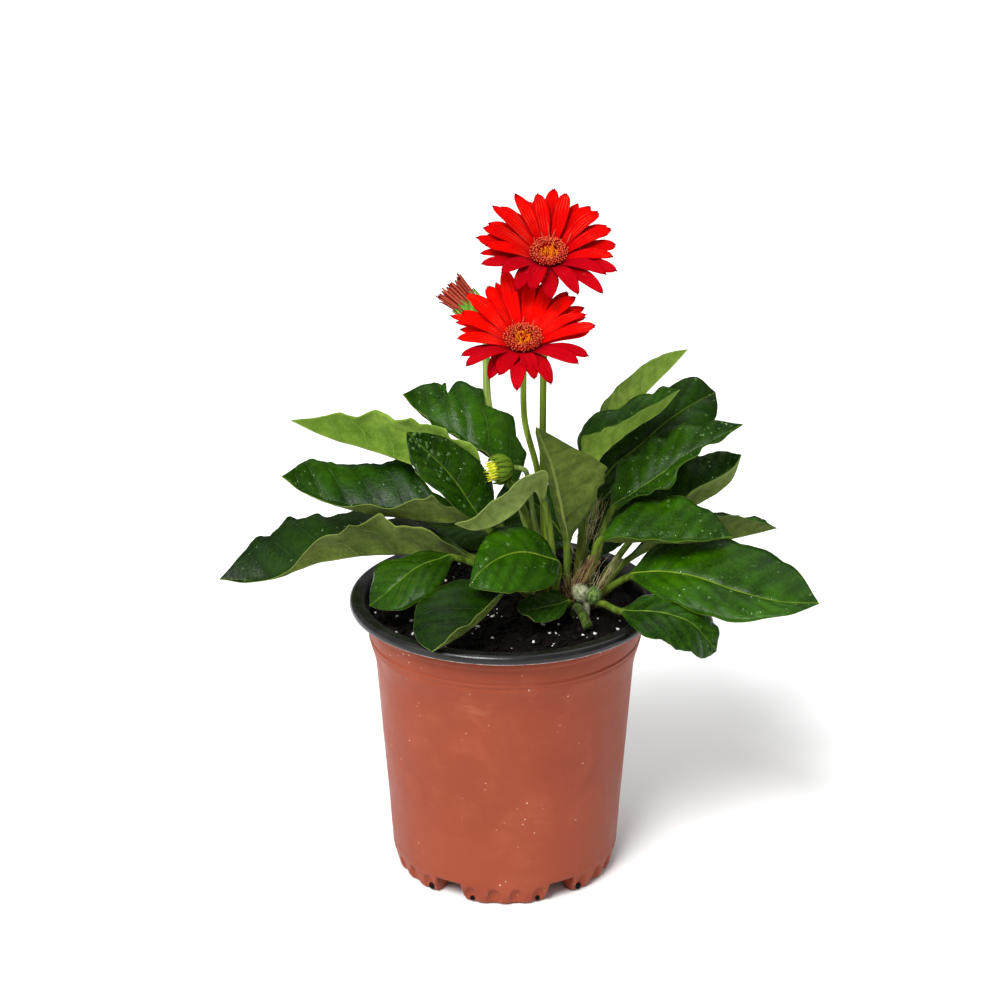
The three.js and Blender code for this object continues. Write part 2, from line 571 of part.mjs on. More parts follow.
function bloom(design) {
  const { name, centre, elevation, swing, root, scape, radius } = design;
  const matrix = headMatrix(centre, elevation, swing);
  const under = (depth) => new THREE.Vector3(0, 0, -depth).applyMatrix4(matrix).toArray();
  const cup = moved(involucre(8.6, 9.5, 10), matrix);
  const stalk = stem([...scapeFoot(root), ...scape, under(22), under(9)], radius, radius * 0.95, 10);
  const head = new THREE.Group();
  head.applyMatrix4(matrix);
  head.add(part(`${name}_rays`, rays(design), 'petal_red', 0.55));
  head.add(part(`${name}_disc`, disc(), 'disc_gold', 0.8));
  return [head, part(`${name}_scape`, fused([stalk, cup]), 'scape_green')];
}

// ---------------------------------------------------------------- buds

const BUD_SIDES = 13;

// closed rays of the half-open bud: ridged side by side, with uneven pointed ends round a hollow
function budRays() {
  const draw = seeded(5);
  const ends = Array.from({ length: BUD_SIDES }, () => 18.5 + 4.5 * draw());
  const profile = [[0, 0], [7.0, 0], [8.0, 7], [9.6, 17], [7.0, 13], [0, 12]];
  return turned(profile, BUD_SIDES * 2, (radius, z, step, k) => {
    const place = Math.round(step * BUD_SIDES * 2);
    const ridge = place % 2 === 0;
    if (k === 3) return [radius + (ridge ? 0.9 : -0.8), ridge ? ends[(place / 2) % BUD_SIDES] : 14.5];
    return [radius + (ridge && k < 4 ? 0.4 : 0), z];
  });
}

// the bud's own cup of bracts, which holds the closed rays
function budCup() {
  const profile = [[0, -7.5], [2.4, -7.5], [6.2, -5], [8.4, 0.5], [9.4, 5], [8.9, 4.6], [7.9, -RUNNING_GAP],
    [0, -RUNNING_GAP]];
  return turned(profile, BUD_SIDES * 2, (radius, z, step, k) => {
    const bract = Math.round(step * BUD_SIDES * 2) % 2 === 0;
    if (k === 3) return [radius + (bract ? 0.4 : 0), z];
    if (k === 4) return [radius + 0.4, z + (bract ? 2.2 : -1.4)];
    if (k === 5) return [radius + 0.2, z - (bract ? 0 : 1.6)];
    return [radius, z];
  });
}

const HALF_OPEN_BUD = { centre: [-20.2, 64, 322.5], elevation: 40, swing: -109, root: [14.5, 146],
  scape: [[12, 36, 200], [-1, 54, 235], [-9.5, 62, 262], [-11, 63, 290]], radius: 2.3 };

function halfOpenBud({ centre, elevation, swing, root, scape, radius }) {
  const matrix = headMatrix(centre, elevation, swing);
  const under = (depth) => new THREE.Vector3(0, 0, -depth).applyMatrix4(matrix).toArray();
  const stalk = stem([...scapeFoot(root), ...scape, under(12), under(4)], radius, radius * 0.9, 12);
  const head = new THREE.Group();
  head.applyMatrix4(matrix);
  head.add(part('half_open_bud_rays', budRays(), 'bud_salmon', 0.6));
  return [head, part('half_open_bud_scape', fused([stalk, moved(budCup(), matrix)]), 'scape_green')];
}

// the young bud hangs from a hooked scape and shows its yellow ray tips in the mouth of its bracts
const YOUNG_BUD = { centre: [-3, -2, 246], elevation: -8, swing: -74, root: [7, 196],
  scape: [[26, 8.5, 178], [17, 4, 212], [13.5, 1, 236], [11, -1.5, 245.5]], radius: 1.5 };

function youngBudBracts() {
  const profile = [[0, -7.6], [2.8, -7.2], [7.0, -4.0], [8.4, 0.5], [8.0, 4.8], [6.6, 4.2], [5.8, 1], [0, 1]];
  return turned(profile, 20, (radius, z, step, k) => {
    const bract = Math.round(step * 20) % 2 === 0;
    if (k === 4) return [radius + (bract ? 0.2 : -0.3), z + (bract ? 1 : -1)];
    return [radius + (bract && k > 1 && k < 4 ? 0.5 : 0), z];
  });
}

function youngBudTips() {
  const profile = [[0, 1 + RUNNING_GAP], [5.3, 1 + RUNNING_GAP], [6.1, 4.0], [6.0, 7.6], [4, 6], [0, 5.4]];
  return turned(profile, 20, (radius, z, step, k) => {
    const tip = Math.round(step * 20) % 2 === 0;
    return [radius, z + (k === 3 && !tip ? -1.8 : 0)];
  });
}

function youngBud({ centre, elevation, swing, root, scape, radius }) {
  const matrix = headMatrix(centre, elevation, swing);
  const under = (depth) => new THREE.Vector3(0, 0, -depth).applyMatrix4(matrix).toArray();
  const stalk = stem([...scapeFoot(root), ...scape, under(5)], radius, radius * 0.9, 12);
  const head = new THREE.Group();
  head.applyMatrix4(matrix);
  head.add(part('young_bud_tips', youngBudTips(), 'bud_yellow', 0.6));
  return [head, part('young_bud_scape', fused([stalk, moved(youngBudBracts(), matrix)]), 'scape_green')];
}

// ---------------------------------------------------------------- crown

// a stout old stalk, cut short, that leans out of the mix in front of the crown
const OLD_STALK = { points: [[40, -8.5, 150], [40, -8.5, 160], [41, -14, 166], [44, -24, 166.5], [47, -33, 162]], radius: 2.9 };

// two woolly buds on one short stalk
const CROWN_BUDS = { stalk: [[47, -9, 150], [47, -9, 160], [47, -11, 169]], radius: 1.6,
  buds: [[43.5, -12, 174], [50.5, -11, 172]], size: 4.2 };

function budBall(centre, size) {
  const profile = [[0, -size], [0.7 * size, -0.7 * size], [size, 0], [0.72 * size, 0.8 * size], [0, 1.1 * size]];
  const ball = turned(profile, 10, (radius, z, step) => [radius + (Math.round(step * 10) % 2 ? 0.4 : 0), z]);
  return moved(ball, new THREE.Matrix4().makeTranslation(...centre));
}

const oldStalk = () => stem(OLD_STALK.points, OLD_STALK.radius * 0.8, OLD_STALK.radius, 8);

const crownBuds = () => fused([
  stem(CROWN_BUDS.stalk, CROWN_BUDS.radius, CROWN_BUDS.radius * 1.5, 4),
  ...CROWN_BUDS.buds.map((centre) => budBall(centre, CROWN_BUDS.size)),
]);

// ---------------------------------------------------------------- potting mix

function soilHole(x, y, radius) {
  const hole = turned([[0, -ROOT_DEPTH - RUNNING_GAP], [radius + RUNNING_GAP + 0.35, -ROOT_DEPTH - RUNNING_GAP],
    [radius + RUNNING_GAP + 0.35, 6], [0, 6]], 6);
  return moved(hole, new THREE.Matrix4().makeTranslation(x, y, SOIL_Z));
}

function soil() {
  const draw = seeded(3);
  const side = SKIN_THICKNESS + LINING_THICKNESS + 2 * RUNNING_GAP + 0.15;
  const base = FLOOR_Z + 1 + 2 * RUNNING_GAP + LINING_THICKNESS;
  const levels = [78, 71, 62, 52, 42];
  const profile = [[0, base], wall(base, side + 0.4), wall(133, side), wall(143, side),
    wall(SOIL_Z - 1.5, side), ...levels.map((radius) => [radius - 2.4, SOIL_Z]), [0, SOIL_Z]];
  const body = turned(profile, 30, (radius, z, step, k) => {
    const onTop = k > 4;
    const level = smooth((Math.hypot(radius * Math.cos(2 * Math.PI * step) - CROWN[0],
      radius * Math.sin(2 * Math.PI * step) - CROWN[1]) - SOIL_FLAT_RADIUS) / 12);
    return [radius, onTop ? z + SOIL_BUMP * level * (2 * draw() - 1) : z];
  });
  const petioles = LEAVES.map(({ root }) => [...rootPlace(root), PETIOLE_RADIUS]);
  const scapes = [...BLOOMS, HALF_OPEN_BUD, YOUNG_BUD].map(({ root, radius }) => [...rootPlace(root), radius]);
  const crown = [[...OLD_STALK.points[0].slice(0, 2), OLD_STALK.radius * 0.8],
    [...CROWN_BUDS.stalk[0].slice(0, 2), CROWN_BUDS.radius]];
  return cut(body, [...petioles, ...scapes, ...crown].map(([x, y, radius]) => soilHole(x, y, radius)));
}

// ---------------------------------------------------------------- the whole plant

const group = new THREE.Group();
group.add(part('pot_skin', potSkin(), 'terracotta', 0.5));
group.add(part('pot_lining', potLining(), 'black_plastic', 0.4));
group.add(part('potting_mix', soil(), 'potting_mix', 1));
for (const blade of LEAVES) group.add(part(blade.name, leaf(blade), blade.lime ? 'lime_leaf' : 'leaf_green', 0.45));
for (const flower of BLOOMS) group.add(...bloom(flower));
group.add(...halfOpenBud(HALF_OPEN_BUD));
group.add(...youngBud(YOUNG_BUD));
group.add(part('old_stalk', oldStalk(), 'scape_green', 0.6));
group.add(part('crown_buds', crownBuds(), 'lime_leaf', 0.9));

export default group;
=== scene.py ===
"""A potted gerbera, dressed over its solid parts: rosette, blooms, buds, nursery pot and potting mix.

Measures in the tables are millimetres, as in the solid parts; meshes are made in metres.
"""

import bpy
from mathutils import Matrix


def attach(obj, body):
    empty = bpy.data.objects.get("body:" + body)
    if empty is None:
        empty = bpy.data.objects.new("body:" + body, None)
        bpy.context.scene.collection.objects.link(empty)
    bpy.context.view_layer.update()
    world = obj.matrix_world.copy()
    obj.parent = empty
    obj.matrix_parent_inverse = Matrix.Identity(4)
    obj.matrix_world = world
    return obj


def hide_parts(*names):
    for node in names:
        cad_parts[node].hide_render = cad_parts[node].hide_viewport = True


bl_info = {
    "name": "Potted Gerbera",
    "version": (1, 0, 0),
    "blender": (4, 5, 0),
    "location": "View3D > Sidebar > Gerbera",
    "description": "Dresses a potted gerbera: leaves, blooms, buds, pot, potting mix and water drops",
    "category": "Add Mesh",
}

import math

import bpy
import numpy as np
from mathutils import Matrix, Vector

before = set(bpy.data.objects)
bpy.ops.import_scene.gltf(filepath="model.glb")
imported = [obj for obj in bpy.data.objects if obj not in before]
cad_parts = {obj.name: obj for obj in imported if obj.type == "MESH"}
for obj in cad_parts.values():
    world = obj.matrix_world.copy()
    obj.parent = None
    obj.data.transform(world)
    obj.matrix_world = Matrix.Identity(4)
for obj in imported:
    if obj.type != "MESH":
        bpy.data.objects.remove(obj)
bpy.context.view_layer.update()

MM = 0.001

# ------------------------------------------------------------------ measures shared with the solids

# (height, outer radius) up the wall of the pot
POT_WALL = [(12.5, 67.1), (40, 68.8), (127, 75), (133, 75.6), (143, 78.6), (163.4, 80.6)]
RIM_Z = 169.3
LIP_RADIUS = 90.0
FOOT_SOLE_RADIUS = 63.4
FOOT_INNER_RADIUS = 54.0
ARCH_HEIGHT = 12.5
FLOOR_Z = 13.5
SOIL_Z = 158.0
# where the rosette grows from the mix, as (x, y), and how deep its stems go in
CROWN = (36.0, 12.0)
ROOT_DEPTH = 8.0

PETIOLE_RADIUS = 1.9
# a blade's margin draws in between its lobes and waves; its halves are crowned by PILLOW of their width
LOBE_DEPTH = 0.2
RUFFLE = 1.4
PILLOW = 0.07

RAY_ROOT_RADIUS = 8.0
RAY_HALF_WIDTH = 4.4
DISC_RADIUS = 10.5

# root is a petiole's foot, as (distance from the crown, degrees); midrib, far and near are points along
# the blade from the petiole to the tip, in its middle and on its two margins; teeth are (place, height,
# width) on a margin
LEAVES = [
    dict(name="leaf_left_low", root=(19, 172), tone="dim", lobes=5, drops=60,
         teeth=dict(near=[(0.31, 0.1, 0.03), (0.405, 0.16, 0.03), (0.515, 0.3, 0.035)],
                    far=[(0.3, 0.1, 0.04), (0.44, 0.14, 0.05), (0.59, 0.16, 0.05), (0.7, 0.13, 0.04),
                         (0.83, 0.1, 0.04)]),
         midrib=[(-20, 14, 186), (-43, 21, 184), (-74, 30, 180), (-110, 39, 171), (-141, 47, 157),
                 (-172, 54, 155)],
         far=[(-42, 35, 196), (-75, 50, 197), (-114, 62, 191), (-146, 66, 177)],
         near=[(-43, 9, 203), (-72, 16, 207), (-106, 26, 192), (-141, 38, 162)]),
    dict(name="leaf_left_mid", root=(19, 186), tone="mid", lobes=4, wave=0.8, drops=70,
         teeth=dict(near=[(0.11, 0.22, 0.03), (0.2, 0.3, 0.035), (0.84, 0.16, 0.04)],
                    far=[(0.36, 0.12, 0.05), (0.7, 0.08, 0.04)]),
         midrib=[(-15, 12, 208), (-40, 18, 206), (-66, 22, 207), (-93, 26, 211), (-114, 29, 218),
                 (-130, 30, 230)],
         far=[(-40, 27, 221), (-64, 44, 233), (-91, 48, 229), (-114, 46, 233)],
         near=[(-41, 4, 225), (-67, 10, 220), (-89, 15, 218), (-111, 18, 222)]),
    dict(name="leaf_left_high", root=(19, 158), lobes=5, wave=0.6, lime=True, drops=0,
         teeth=dict(near=[(0.36, 0.12, 0.05), (0.5, 0.2, 0.045), (0.65, 0.14, 0.05), (0.8, 0.1, 0.04)]),
         midrib=[(-11, 21, 215), (-33, 26, 229), (-57, 30, 238), (-80, 36, 244), (-104, 41, 250),
                 (-125, 46, 259)],
         far=[(-31, 38, 233), (-57, 50, 241), (-84, 59, 245), (-108, 56, 251)],
         near=[(-18, 17, 250), (-42, 20, 262), (-70, 28, 267), (-98, 36, 265)]),
    dict(name="leaf_left_upright", root=(19, 202), lobes=4, wave=0.4, drops=80,
         midrib=[(-10, 2, 209), (-18, 0, 221), (-27, 1, 235), (-36, 3, 246), (-47, 6, 256), (-56, 8, 265)],
         far=[(-8, 8, 221), (-10, 12, 236), (-22, 14, 250), (-38, 14, 260)],
         near=[(-25, -8, 224), (-38, -9, 237), (-50, -6, 247), (-54, 0, 256)]),
    dict(name="leaf_back_left", root=(15, 112), tone="fresh", lobes=4, wave=0.9, drops=60,
         teeth=dict(far=[(0.2, 0.14, 0.05), (0.34, 0.2, 0.06), (0.5, 0.16, 0.05), (0.67, -0.32, 0.022)]),
         midrib=[(5, 24, 224), (-5, 31, 238), (-20, 37, 246), (-34, 44, 252), (-48, 52, 259), (-60, 58, 271)],
         far=[(10, 42, 240), (-6, 55, 261), (-25, 64, 274), (-45, 70, 273)],
         near=[(-5, 22, 242), (-20, 27, 251), (-34, 33, 257), (-48, 42, 264)]),
    dict(name="leaf_front_curled", root=(12, 250), under="pale", lobes=3, wave=0.3, drops=0,
         midrib=[(22, -9, 229), (16, -15, 238), (6, -22, 228), (-7, -27, 221), (-18, -30, 220),
                 (-28, -33, 225)],
         far=[(16, -4, 242), (5, -8, 236), (-8, -13, 229), (-19, -20, 222)],
         near=[(22, -24, 253), (8, -30, 249), (-4, -34, 241), (-17, -36, 230)]),
    dict(name="leaf_centre_upright", root=(8, 272), under="olive", lobes=2, wave=0.5, drops=0,
         teeth=dict(far=[(0.3, 0.08, 0.04), (0.46, 0.1, 0.05), (0.6, 0.08, 0.04)]),
         midrib=[(35, -4, 204), (32, -8, 221), (29, -12, 237), (25, -16, 254), (21, -19, 267),
                 (17, -21, 278)],
         far=[(46, -2, 220), (52, -4, 235), (54, -8, 249), (35, -15, 265)],
         near=[(30, -11, 224), (26, -14, 241), (22, -17, 256), (19, -19, 268)]),
    dict(name="leaf_back_right_tall", root=(14, 72), under="bright", lobes=4, wave=0.5, lime=True, drops=0,
         midrib=[(64, 68, 229), (70, 73, 244), (78, 78, 257), (87, 82, 267), (98, 86, 277), (109, 89, 289)],
         far=[(65, 82, 242), (75, 88, 259), (87, 90, 269), (97, 90, 278)],
         near=[(57, 60, 261), (65, 64, 271), (78, 70, 281), (92, 78, 288)]),
    dict(name="leaf_right_high", root=(5, 30), tone="fresh", under="bright", lobes=4, wave=0.7, drops=40,
         midrib=[(48, 18, 232), (55, 22, 244), (64, 26, 252), (75, 31, 259), (90, 37, 267), (101, 42, 279)],
         far=[(43, 38, 255), (60, 44, 265), (78, 48, 272), (91, 50, 277)],
         near=[(44, 12, 260), (55, 12, 265), (68, 16, 269), (87, 26, 277)]),
    dict(name="leaf_back_right", root=(11, 45), tone="dim", lobes=3, wave=0.4, drops=20,
         midrib=[(51, 38, 212), (62, 46, 228), (80, 54, 241), (97, 64, 253), (114, 74, 261), (126, 83, 264)],
         far=[(57, 58, 243), (76, 68, 257), (94, 78, 266), (115, 86, 271)],
         near=[(68, 42, 217), (89, 46, 231), (109, 52, 246), (125, 69, 254)]),
    dict(name="leaf_right_mid", root=(11, 8), lobes=5, tone="deep", drops=60,
         midrib=[(62, 20, 213), (75, 21, 223), (87, 23, 231), (100, 27, 239), (119, 32, 250), (138, 36, 260)],
         far=[(65, 34, 229), (79, 40, 243), (97, 44, 252), (118, 44, 258)],
         near=[(78, 10, 227), (92, 12, 231), (107, 18, 247), (122, 26, 253)]),
    dict(name="leaf_right_back", root=(17, 20), tone="mid", under="pale", lobes=3, wave=0.5, drops=30,
         midrib=[(88, 30, 206), (98, 32, 207), (109, 34, 209), (122, 38, 214), (133, 43, 222),
                 (139, 48, 237)],
         far=[(95, 48, 221), (104, 54, 230), (116, 58, 233), (131, 56, 235)],
         near=[(98, 22, 216), (104, 24, 220), (114, 28, 225), (133, 36, 234)]),
    dict(name="leaf_right_glossy", root=(11, -35), lobes=4, wave=0.6, tone="fresh", drops=60,
         midrib=[(55, -2, 203), (66, -5, 203), (83, -6, 203), (101, -6, 202), (115, -6, 204), (130, -5, 206)],
         far=[(67, 8, 215), (84, 15, 220), (102, 16, 221), (118, 10, 215)],
         near=[(66, -15, 211), (83, -18, 210), (100, -18, 209), (115, -13, 208)]),
    dict(name="leaf_right_behind", root=(18, -2), under="olive", lobes=4, wave=0.6, drops=20,
         teeth=dict(far=[(0.7, 0.1, 0.025), (0.78, 0.08, 0.02), (0.87, 0.12, 0.025)]),
         midrib=[(70, 16, 182), (89, 24, 188), (110, 29, 188), (130, 34, 188), (145, 38, 190),
                 (161, 42, 193)],
         far=[(88, 37, 192), (108, 46, 194), (128, 52, 198), (150, 52, 195)],
         near=[(88, 18, 199), (105, 19, 203), (124, 23, 208), (145, 32, 202)]),
    dict(name="leaf_right_big", root=(17, -28), lobes=5, wave=0.25, tone="fresh", drops=60,
         midrib=[(72, -6, 182), (84, -11, 187), (106, -20, 188), (131, -31, 183), (154, -42, 181),
                 (175, -50, 184)],
         far=[(89, 10, 195), (113, 8, 200), (139, 0, 198), (162, -16, 193)],
         near=[(86, -29, 181), (105, -41, 177), (129, -50, 174), (156, -54, 179)]),
    dict(name="leaf_right_low", root=(17, -50), tone="mid", lobes=4, wave=0.5, drops=14,
         midrib=[(66, -32, 171), (78, -42, 176), (91, -46, 176), (104, -47, 171), (113, -47, 161),
                 (119, -46, 153)],
         far=[(82, -26, 179), (101, -26, 175), (114, -31, 170), (120, -38, 162)],
         near=[(74, -62, 173), (88, -64, 168), (101, -62, 161), (112, -53, 153)]),
    dict(name="leaf_front_bright", root=(19, 246), lobes=3, wave=0.25, tone="fresh", drops=40,
         midrib=[(30, -13, 192), (19, -22, 202), (8, -30, 207), (-4, -40, 207), (-13, -48, 203),
                 (-20, -54, 196)],
         far=[(23, -13, 206), (9, -14, 214), (-5, -20, 216), (-15, -36, 209)],
         near=[(28, -34, 191), (14, -48, 192), (2, -56, 194), (-11, -58, 196)]),
    dict(name="leaf_left_front", root=(19, 217), lobes=3, wave=0.3, drops=10,
         midrib=[(-30, -4, 193), (-40, -10, 194), (-50, -16, 192), (-59, -21, 186), (-68, -25, 179),
                 (-77, -28, 173)],
         far=[(-44, 6, 192), (-60, 4, 188), (-72, -2, 187), (-76, -12, 180)],
         near=[(-36, -26, 187), (-45, -34, 182), (-56, -38, 177), (-66, -36, 174)]),
    dict(name="leaf_front_over_lip", root=(19, 233), tone="dim", lobes=3, wave=0.3, drops=10,
         midrib=[(1, -36, 189), (-4, -48, 185), (-12, -60, 179), (-22, -71, 175), (-31, -79, 173),
                 (-40, -86, 171)],
         far=[(-24, -34, 191), (-41, -44, 187), (-50, -58, 179), (-47, -74, 172)],
         near=[(-8, -56, 189), (-16, -68, 185), (-26, -79, 182), (-33, -85, 177)]),
    dict(name="leaf_front_small", root=(19, 262), lobes=3, wave=0.4, drops=6,
         midrib=[(36, -16, 170), (30, -21, 171), (23, -25, 171), (16, -29, 171), (11, -32, 172),
                 (7, -34, 174)],
         far=[(31, -12, 174), (23, -15, 175), (15, -20, 175), (9, -27, 175)],
         near=[(32, -32, 170), (25, -38, 169), (17, -41, 170), (10, -39, 173)]),
    dict(name="leaf_behind_left", root=(19, 140), lobes=3, wave=0.5, drops=8,
         midrib=[(-3, 44, 187), (-12, 51, 187), (-22, 58, 186), (-33, 66, 184), (-44, 74, 181),
                 (-54, 81, 178)],
         far=[(-10, 62, 197), (-22, 71, 196), (-35, 79, 192), (-47, 84, 186)],
         near=[(-14, 42, 181), (-25, 48, 180), (-36, 56, 178), (-48, 68, 176)]),
    dict(name="leaf_behind_right", root=(18, 45), lobes=3, wave=0.5, drops=8,
         midrib=[(53, 38, 177), (57, 45, 187), (63, 52, 196), (73, 61, 204), (88, 71, 210), (104, 80, 214)],
         far=[(45, 49, 190), (49, 58, 203), (62, 68, 213), (82, 79, 219)],
         near=[(66, 40, 182), (74, 48, 189), (86, 59, 197), (99, 72, 206)]),
    dict(name="leaf_behind_middle", root=(19, 85), lobes=3, wave=0.5, drops=8,
         midrib=[(38, 46, 180), (33, 51, 187), (27, 56, 194), (19, 61, 201), (10, 65, 207), (0, 67, 212)],
         far=[(42, 57, 194), (35, 64, 204), (25, 68, 210), (12, 70, 213)],
         near=[(26, 45, 178), (13, 49, 182), (2, 54, 189), (-6, 60, 200)]),
]

# centre, elevation and swing place a head and turn it; scape holds points along its stem; rays are
# (degrees, reach) round the head; quills are (degrees, reach, lean)
BLOOMS = [
    dict(name="upper_bloom", centre=(23.9, 6, 367.5), elevation=58, swing=1, cup=27, seed=11, root=(13, 180),
         scape=[(22.5, 12, 200), (21.5, 12, 260), (22, 13, 320)], radius=2.0,
         quills=[(88, 12, 20), (78, 8, 34), (104, 7, 30), (35, 10, 40), (18, 6, 50), (152, 6, 50),
                 (128, 5, 40)],
         rays=[(86, 33), (72, 30), (56, 31), (41, 28), (27, 28), (14, 27), (3, 28.5), (345, 28), (329, 34),
               (318, 31), (304, 38), (288, 34), (267, 26), (250, 26), (233, 25), (216, 25), (203, 32),
               (189, 27), (179, 32), (166, 29), (152, 30), (142, 31), (130, 31), (118, 29.5), (108, 29.5),
               (97, 28.5)]),
    dict(name="lower_bloom", centre=(9.8, -22, 326.5), elevation=60, swing=-2, cup=27, seed=29,
         root=(13.5, 222),
         scape=[(23.5, 0, 210), (18, -3, 247), (11, -7, 277)], radius=1.8,
         quills=[(160, 17, 74), (118, 6, 40), (92, 7, 30), (66, 6, 36), (30, 6, 52), (205, 6, 60)],
         rays=[(119, 32), (107, 33), (96, 32), (84, 30), (73, 29), (62, 32), (51, 30), (40, 28), (31, 30),
               (20, 27.5), (8, 26), (357, 31), (336, 32), (312, 35), (294, 29.5), (279, 24), (265, 32),
               (249, 23), (238, 25), (228, 34.5), (213, 30), (197, 28.5), (183, 27), (171, 31.5), (158, 29),
               (147, 31), (134, 33)]),
]
HALF_OPEN_BUD = dict(centre=(-20.2, 64, 322.5), elevation=40, swing=-109, root=(14.5, 146),
                     scape=[(12, 36, 200), (-1, 54, 235), (-9.5, 62, 262), (-11, 63, 290)], radius=2.3)
YOUNG_BUD = dict(centre=(-3, -2, 246), elevation=-8, swing=-74, root=(7, 196),
                 scape=[(26, 8.5, 178), (17, 4, 212), (13.5, 1, 236), (11, -1.5, 245.5)], radius=1.5)
OLD_STALK = dict(points=[(40, -8.5, 150), (40, -8.5, 160), (41, -14, 166), (44, -24, 166.5), (47, -33, 162)],
                 radius=2.9)
CROWN_BUDS = dict(stalk=[(47, -9, 150), (47, -9, 160), (47, -11, 169)], radius=1.6,
                  buds=[(43.5, -12, 174), (50.5, -11, 172)], size=4.2)
# foot, top, how many, how far they spread, how thick, and 1 for brown husks of old petioles
FIBRES = [((48, 20, 196), (56, 26, 226), 34, 4, 0.16, 0), ((40, -2, 172), (44, -10, 190), 22, 4, 0.16, 0),
          ((40, -8, 172), (54, -5, 199), 46, 1.5, 0.5, 1), ((33, -4, 164), (35, -4, 186), 30, 2.2, 0.5, 1),
          ((52, -8, 176), (66, -3, 200), 24, 2.2, 0.12, 0)]


# ------------------------------------------------------------------ small mathematics

def smooth(x):
    k = np.clip(x, 0, 1)
    return k * k * (3 - 2 * k)


def unit(a):
    a = np.asarray(a, float)
    return a / np.maximum(np.linalg.norm(a, axis=-1, keepdims=True), 1e-9)


def seeded(seed):
    """The same pseudo-random numbers every time, as the solids use."""
    state = seed

    def draw():
        nonlocal state
        state = (state * 1664525 + 1013904223) % 4294967296
        return state / 4294967296
    return draw


def rail(points):
    """A centripetal curve through points, as a function of 0 to 1 that takes an array."""
    pts = np.asarray(points, float)
    last = len(pts) - 1
    ext = np.vstack([2 * pts[0] - pts[1], pts, 2 * pts[-1] - pts[-2]])

    def at(t):
        p = last * np.clip(np.atleast_1d(np.asarray(t, float)), 0, 1)
        i = np.minimum(np.floor(p).astype(int), last - 1)
        w = (p - i)[:, None]
        p0, p1, p2, p3 = ext[i], ext[i + 1], ext[i + 2], ext[i + 3]
        d0, d1, d2 = (np.sqrt(np.linalg.norm(gap, axis=1))[:, None] for gap in (p1 - p0, p2 - p1, p3 - p2))
        t1 = ((p1 - p0) / d0 - (p2 - p0) / (d0 + d1) + (p2 - p1) / d1) * d1
        t2 = ((p2 - p1) / d1 - (p3 - p1) / (d1 + d2) + (p3 - p2) / d2) * d1
        return p1 + t1 * w + (3 * (p2 - p1) - 2 * t1 - t2) * w ** 2 + (2 * (p1 - p2) + t1 + t2) * w ** 3
    return at


def tangents(curve, t):
    t = np.atleast_1d(np.asarray(t, float))
    return unit(curve(np.minimum(t + 1e-4, 1)) - curve(np.maximum(t - 1e-4, 0)))


def drift(x, seed, scale=1.0):
    """A slow wander between about -1 and 1 along x."""
    rng = np.random.default_rng(seed)
    waves = [(rng.uniform(0.6, 1.4) * k, rng.uniform(0, 6.28), 1 / k ** 0.6) for k in (1, 2, 3.3, 5.1)]
    return sum(a * np.sin(2 * np.pi * f * x * scale + p) for f, p, a in waves) / 2.2


def root_place(root):
    """(x, y) of a petiole's or a scape's foot, given as (distance from the crown, degrees)."""
    angle = math.radians(root[1])
    return CROWN[0] + root[0] * math.cos(angle), CROWN[1] + root[0] * math.sin(angle)


def spokes(angle):
    """The unit vectors outwards from an axis and round it, at an angle about it."""
    c, s = math.cos(angle), math.sin(angle)
    return np.array([c, s, 0]), np.array([-s, c, 0])


def head_matrix(part):
    """The frame of a flower head: Z along its axis, as (3x3 rotation, centre)."""
    e, s = math.radians(part["elevation"]), math.radians(part["swing"])
    axis = np.array([math.sin(s) * math.cos(e), -math.cos(s) * math.cos(e), math.sin(e)])
    right = np.array([math.cos(s), math.sin(s), 0])
    return np.column_stack([right, np.cross(axis, right), axis]), np.array(part["centre"], float)


def placed(points, matrix):
    """Points of a head's frame, where the head is."""
    turn, centre = matrix
    return np.asarray(points, float) @ turn.T + centre


# ------------------------------------------------------------------ meshes

class Body:
    """Vertices and faces of one piece while it is put together from several shells."""

    def __init__(self):
        self.points, self.faces, self.marks, self.maps, self.count = [], [], [], {}, 0

    def add(self, points, faces, mark=0, **maps):
        """Adds a shell. mark is its material place, one number or one per face; maps are UVs per vertex."""
        points = np.asarray(points, float).reshape(-1, 3)
        faces = [tuple(int(i) + self.count for i in f) for f in faces]
        self.points.append(points)
        self.faces += faces
        self.marks += list(mark) if np.ndim(mark) else [mark] * len(faces)
        for key in set(self.maps) | set(maps):
            if key not in self.maps:
                self.maps[key] = [np.zeros((self.count, 2))]
            self.maps[key].append(np.asarray(maps.get(key, np.zeros((len(points), 2))), float).reshape(-1, 2))
        self.count += len(points)

    def piece(self, name, materials, slot, nodes=(), flat=False):
        """Makes the object, which rides on the plant's one body and stands for the named solids."""
        mesh = bpy.data.meshes.new(name)
        mesh.from_pydata((np.vstack(self.points) * MM).tolist(), [], self.faces)
        for m in materials:
            mesh.materials.append(m)
        mesh.polygons.foreach_set("material_index", np.asarray(self.marks, np.int32))
        mesh.polygons.foreach_set("use_smooth", np.full(len(self.faces), not flat))
        corners = np.zeros(len(mesh.loops), np.int32)
        mesh.loops.foreach_get("vertex_index", corners)
        for key, parts in self.maps.items():
            layer = mesh.uv_layers.new(name=key)
            layer.data.foreach_set("uv", np.vstack(parts)[corners].astype(np.float32).ravel())
        mesh.validate()
        mesh.update()
        obj = bpy.data.objects.new(name, mesh)
        bpy.context.scene.collection.objects.link(obj)
        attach(obj, "root")
        if nodes:
            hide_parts(*nodes)

    def dress(self, node, materials, slot):
        """Makes the piece that stands for the solid of this name."""
        self.piece(node + "_piece", materials, slot, nodes=[node])


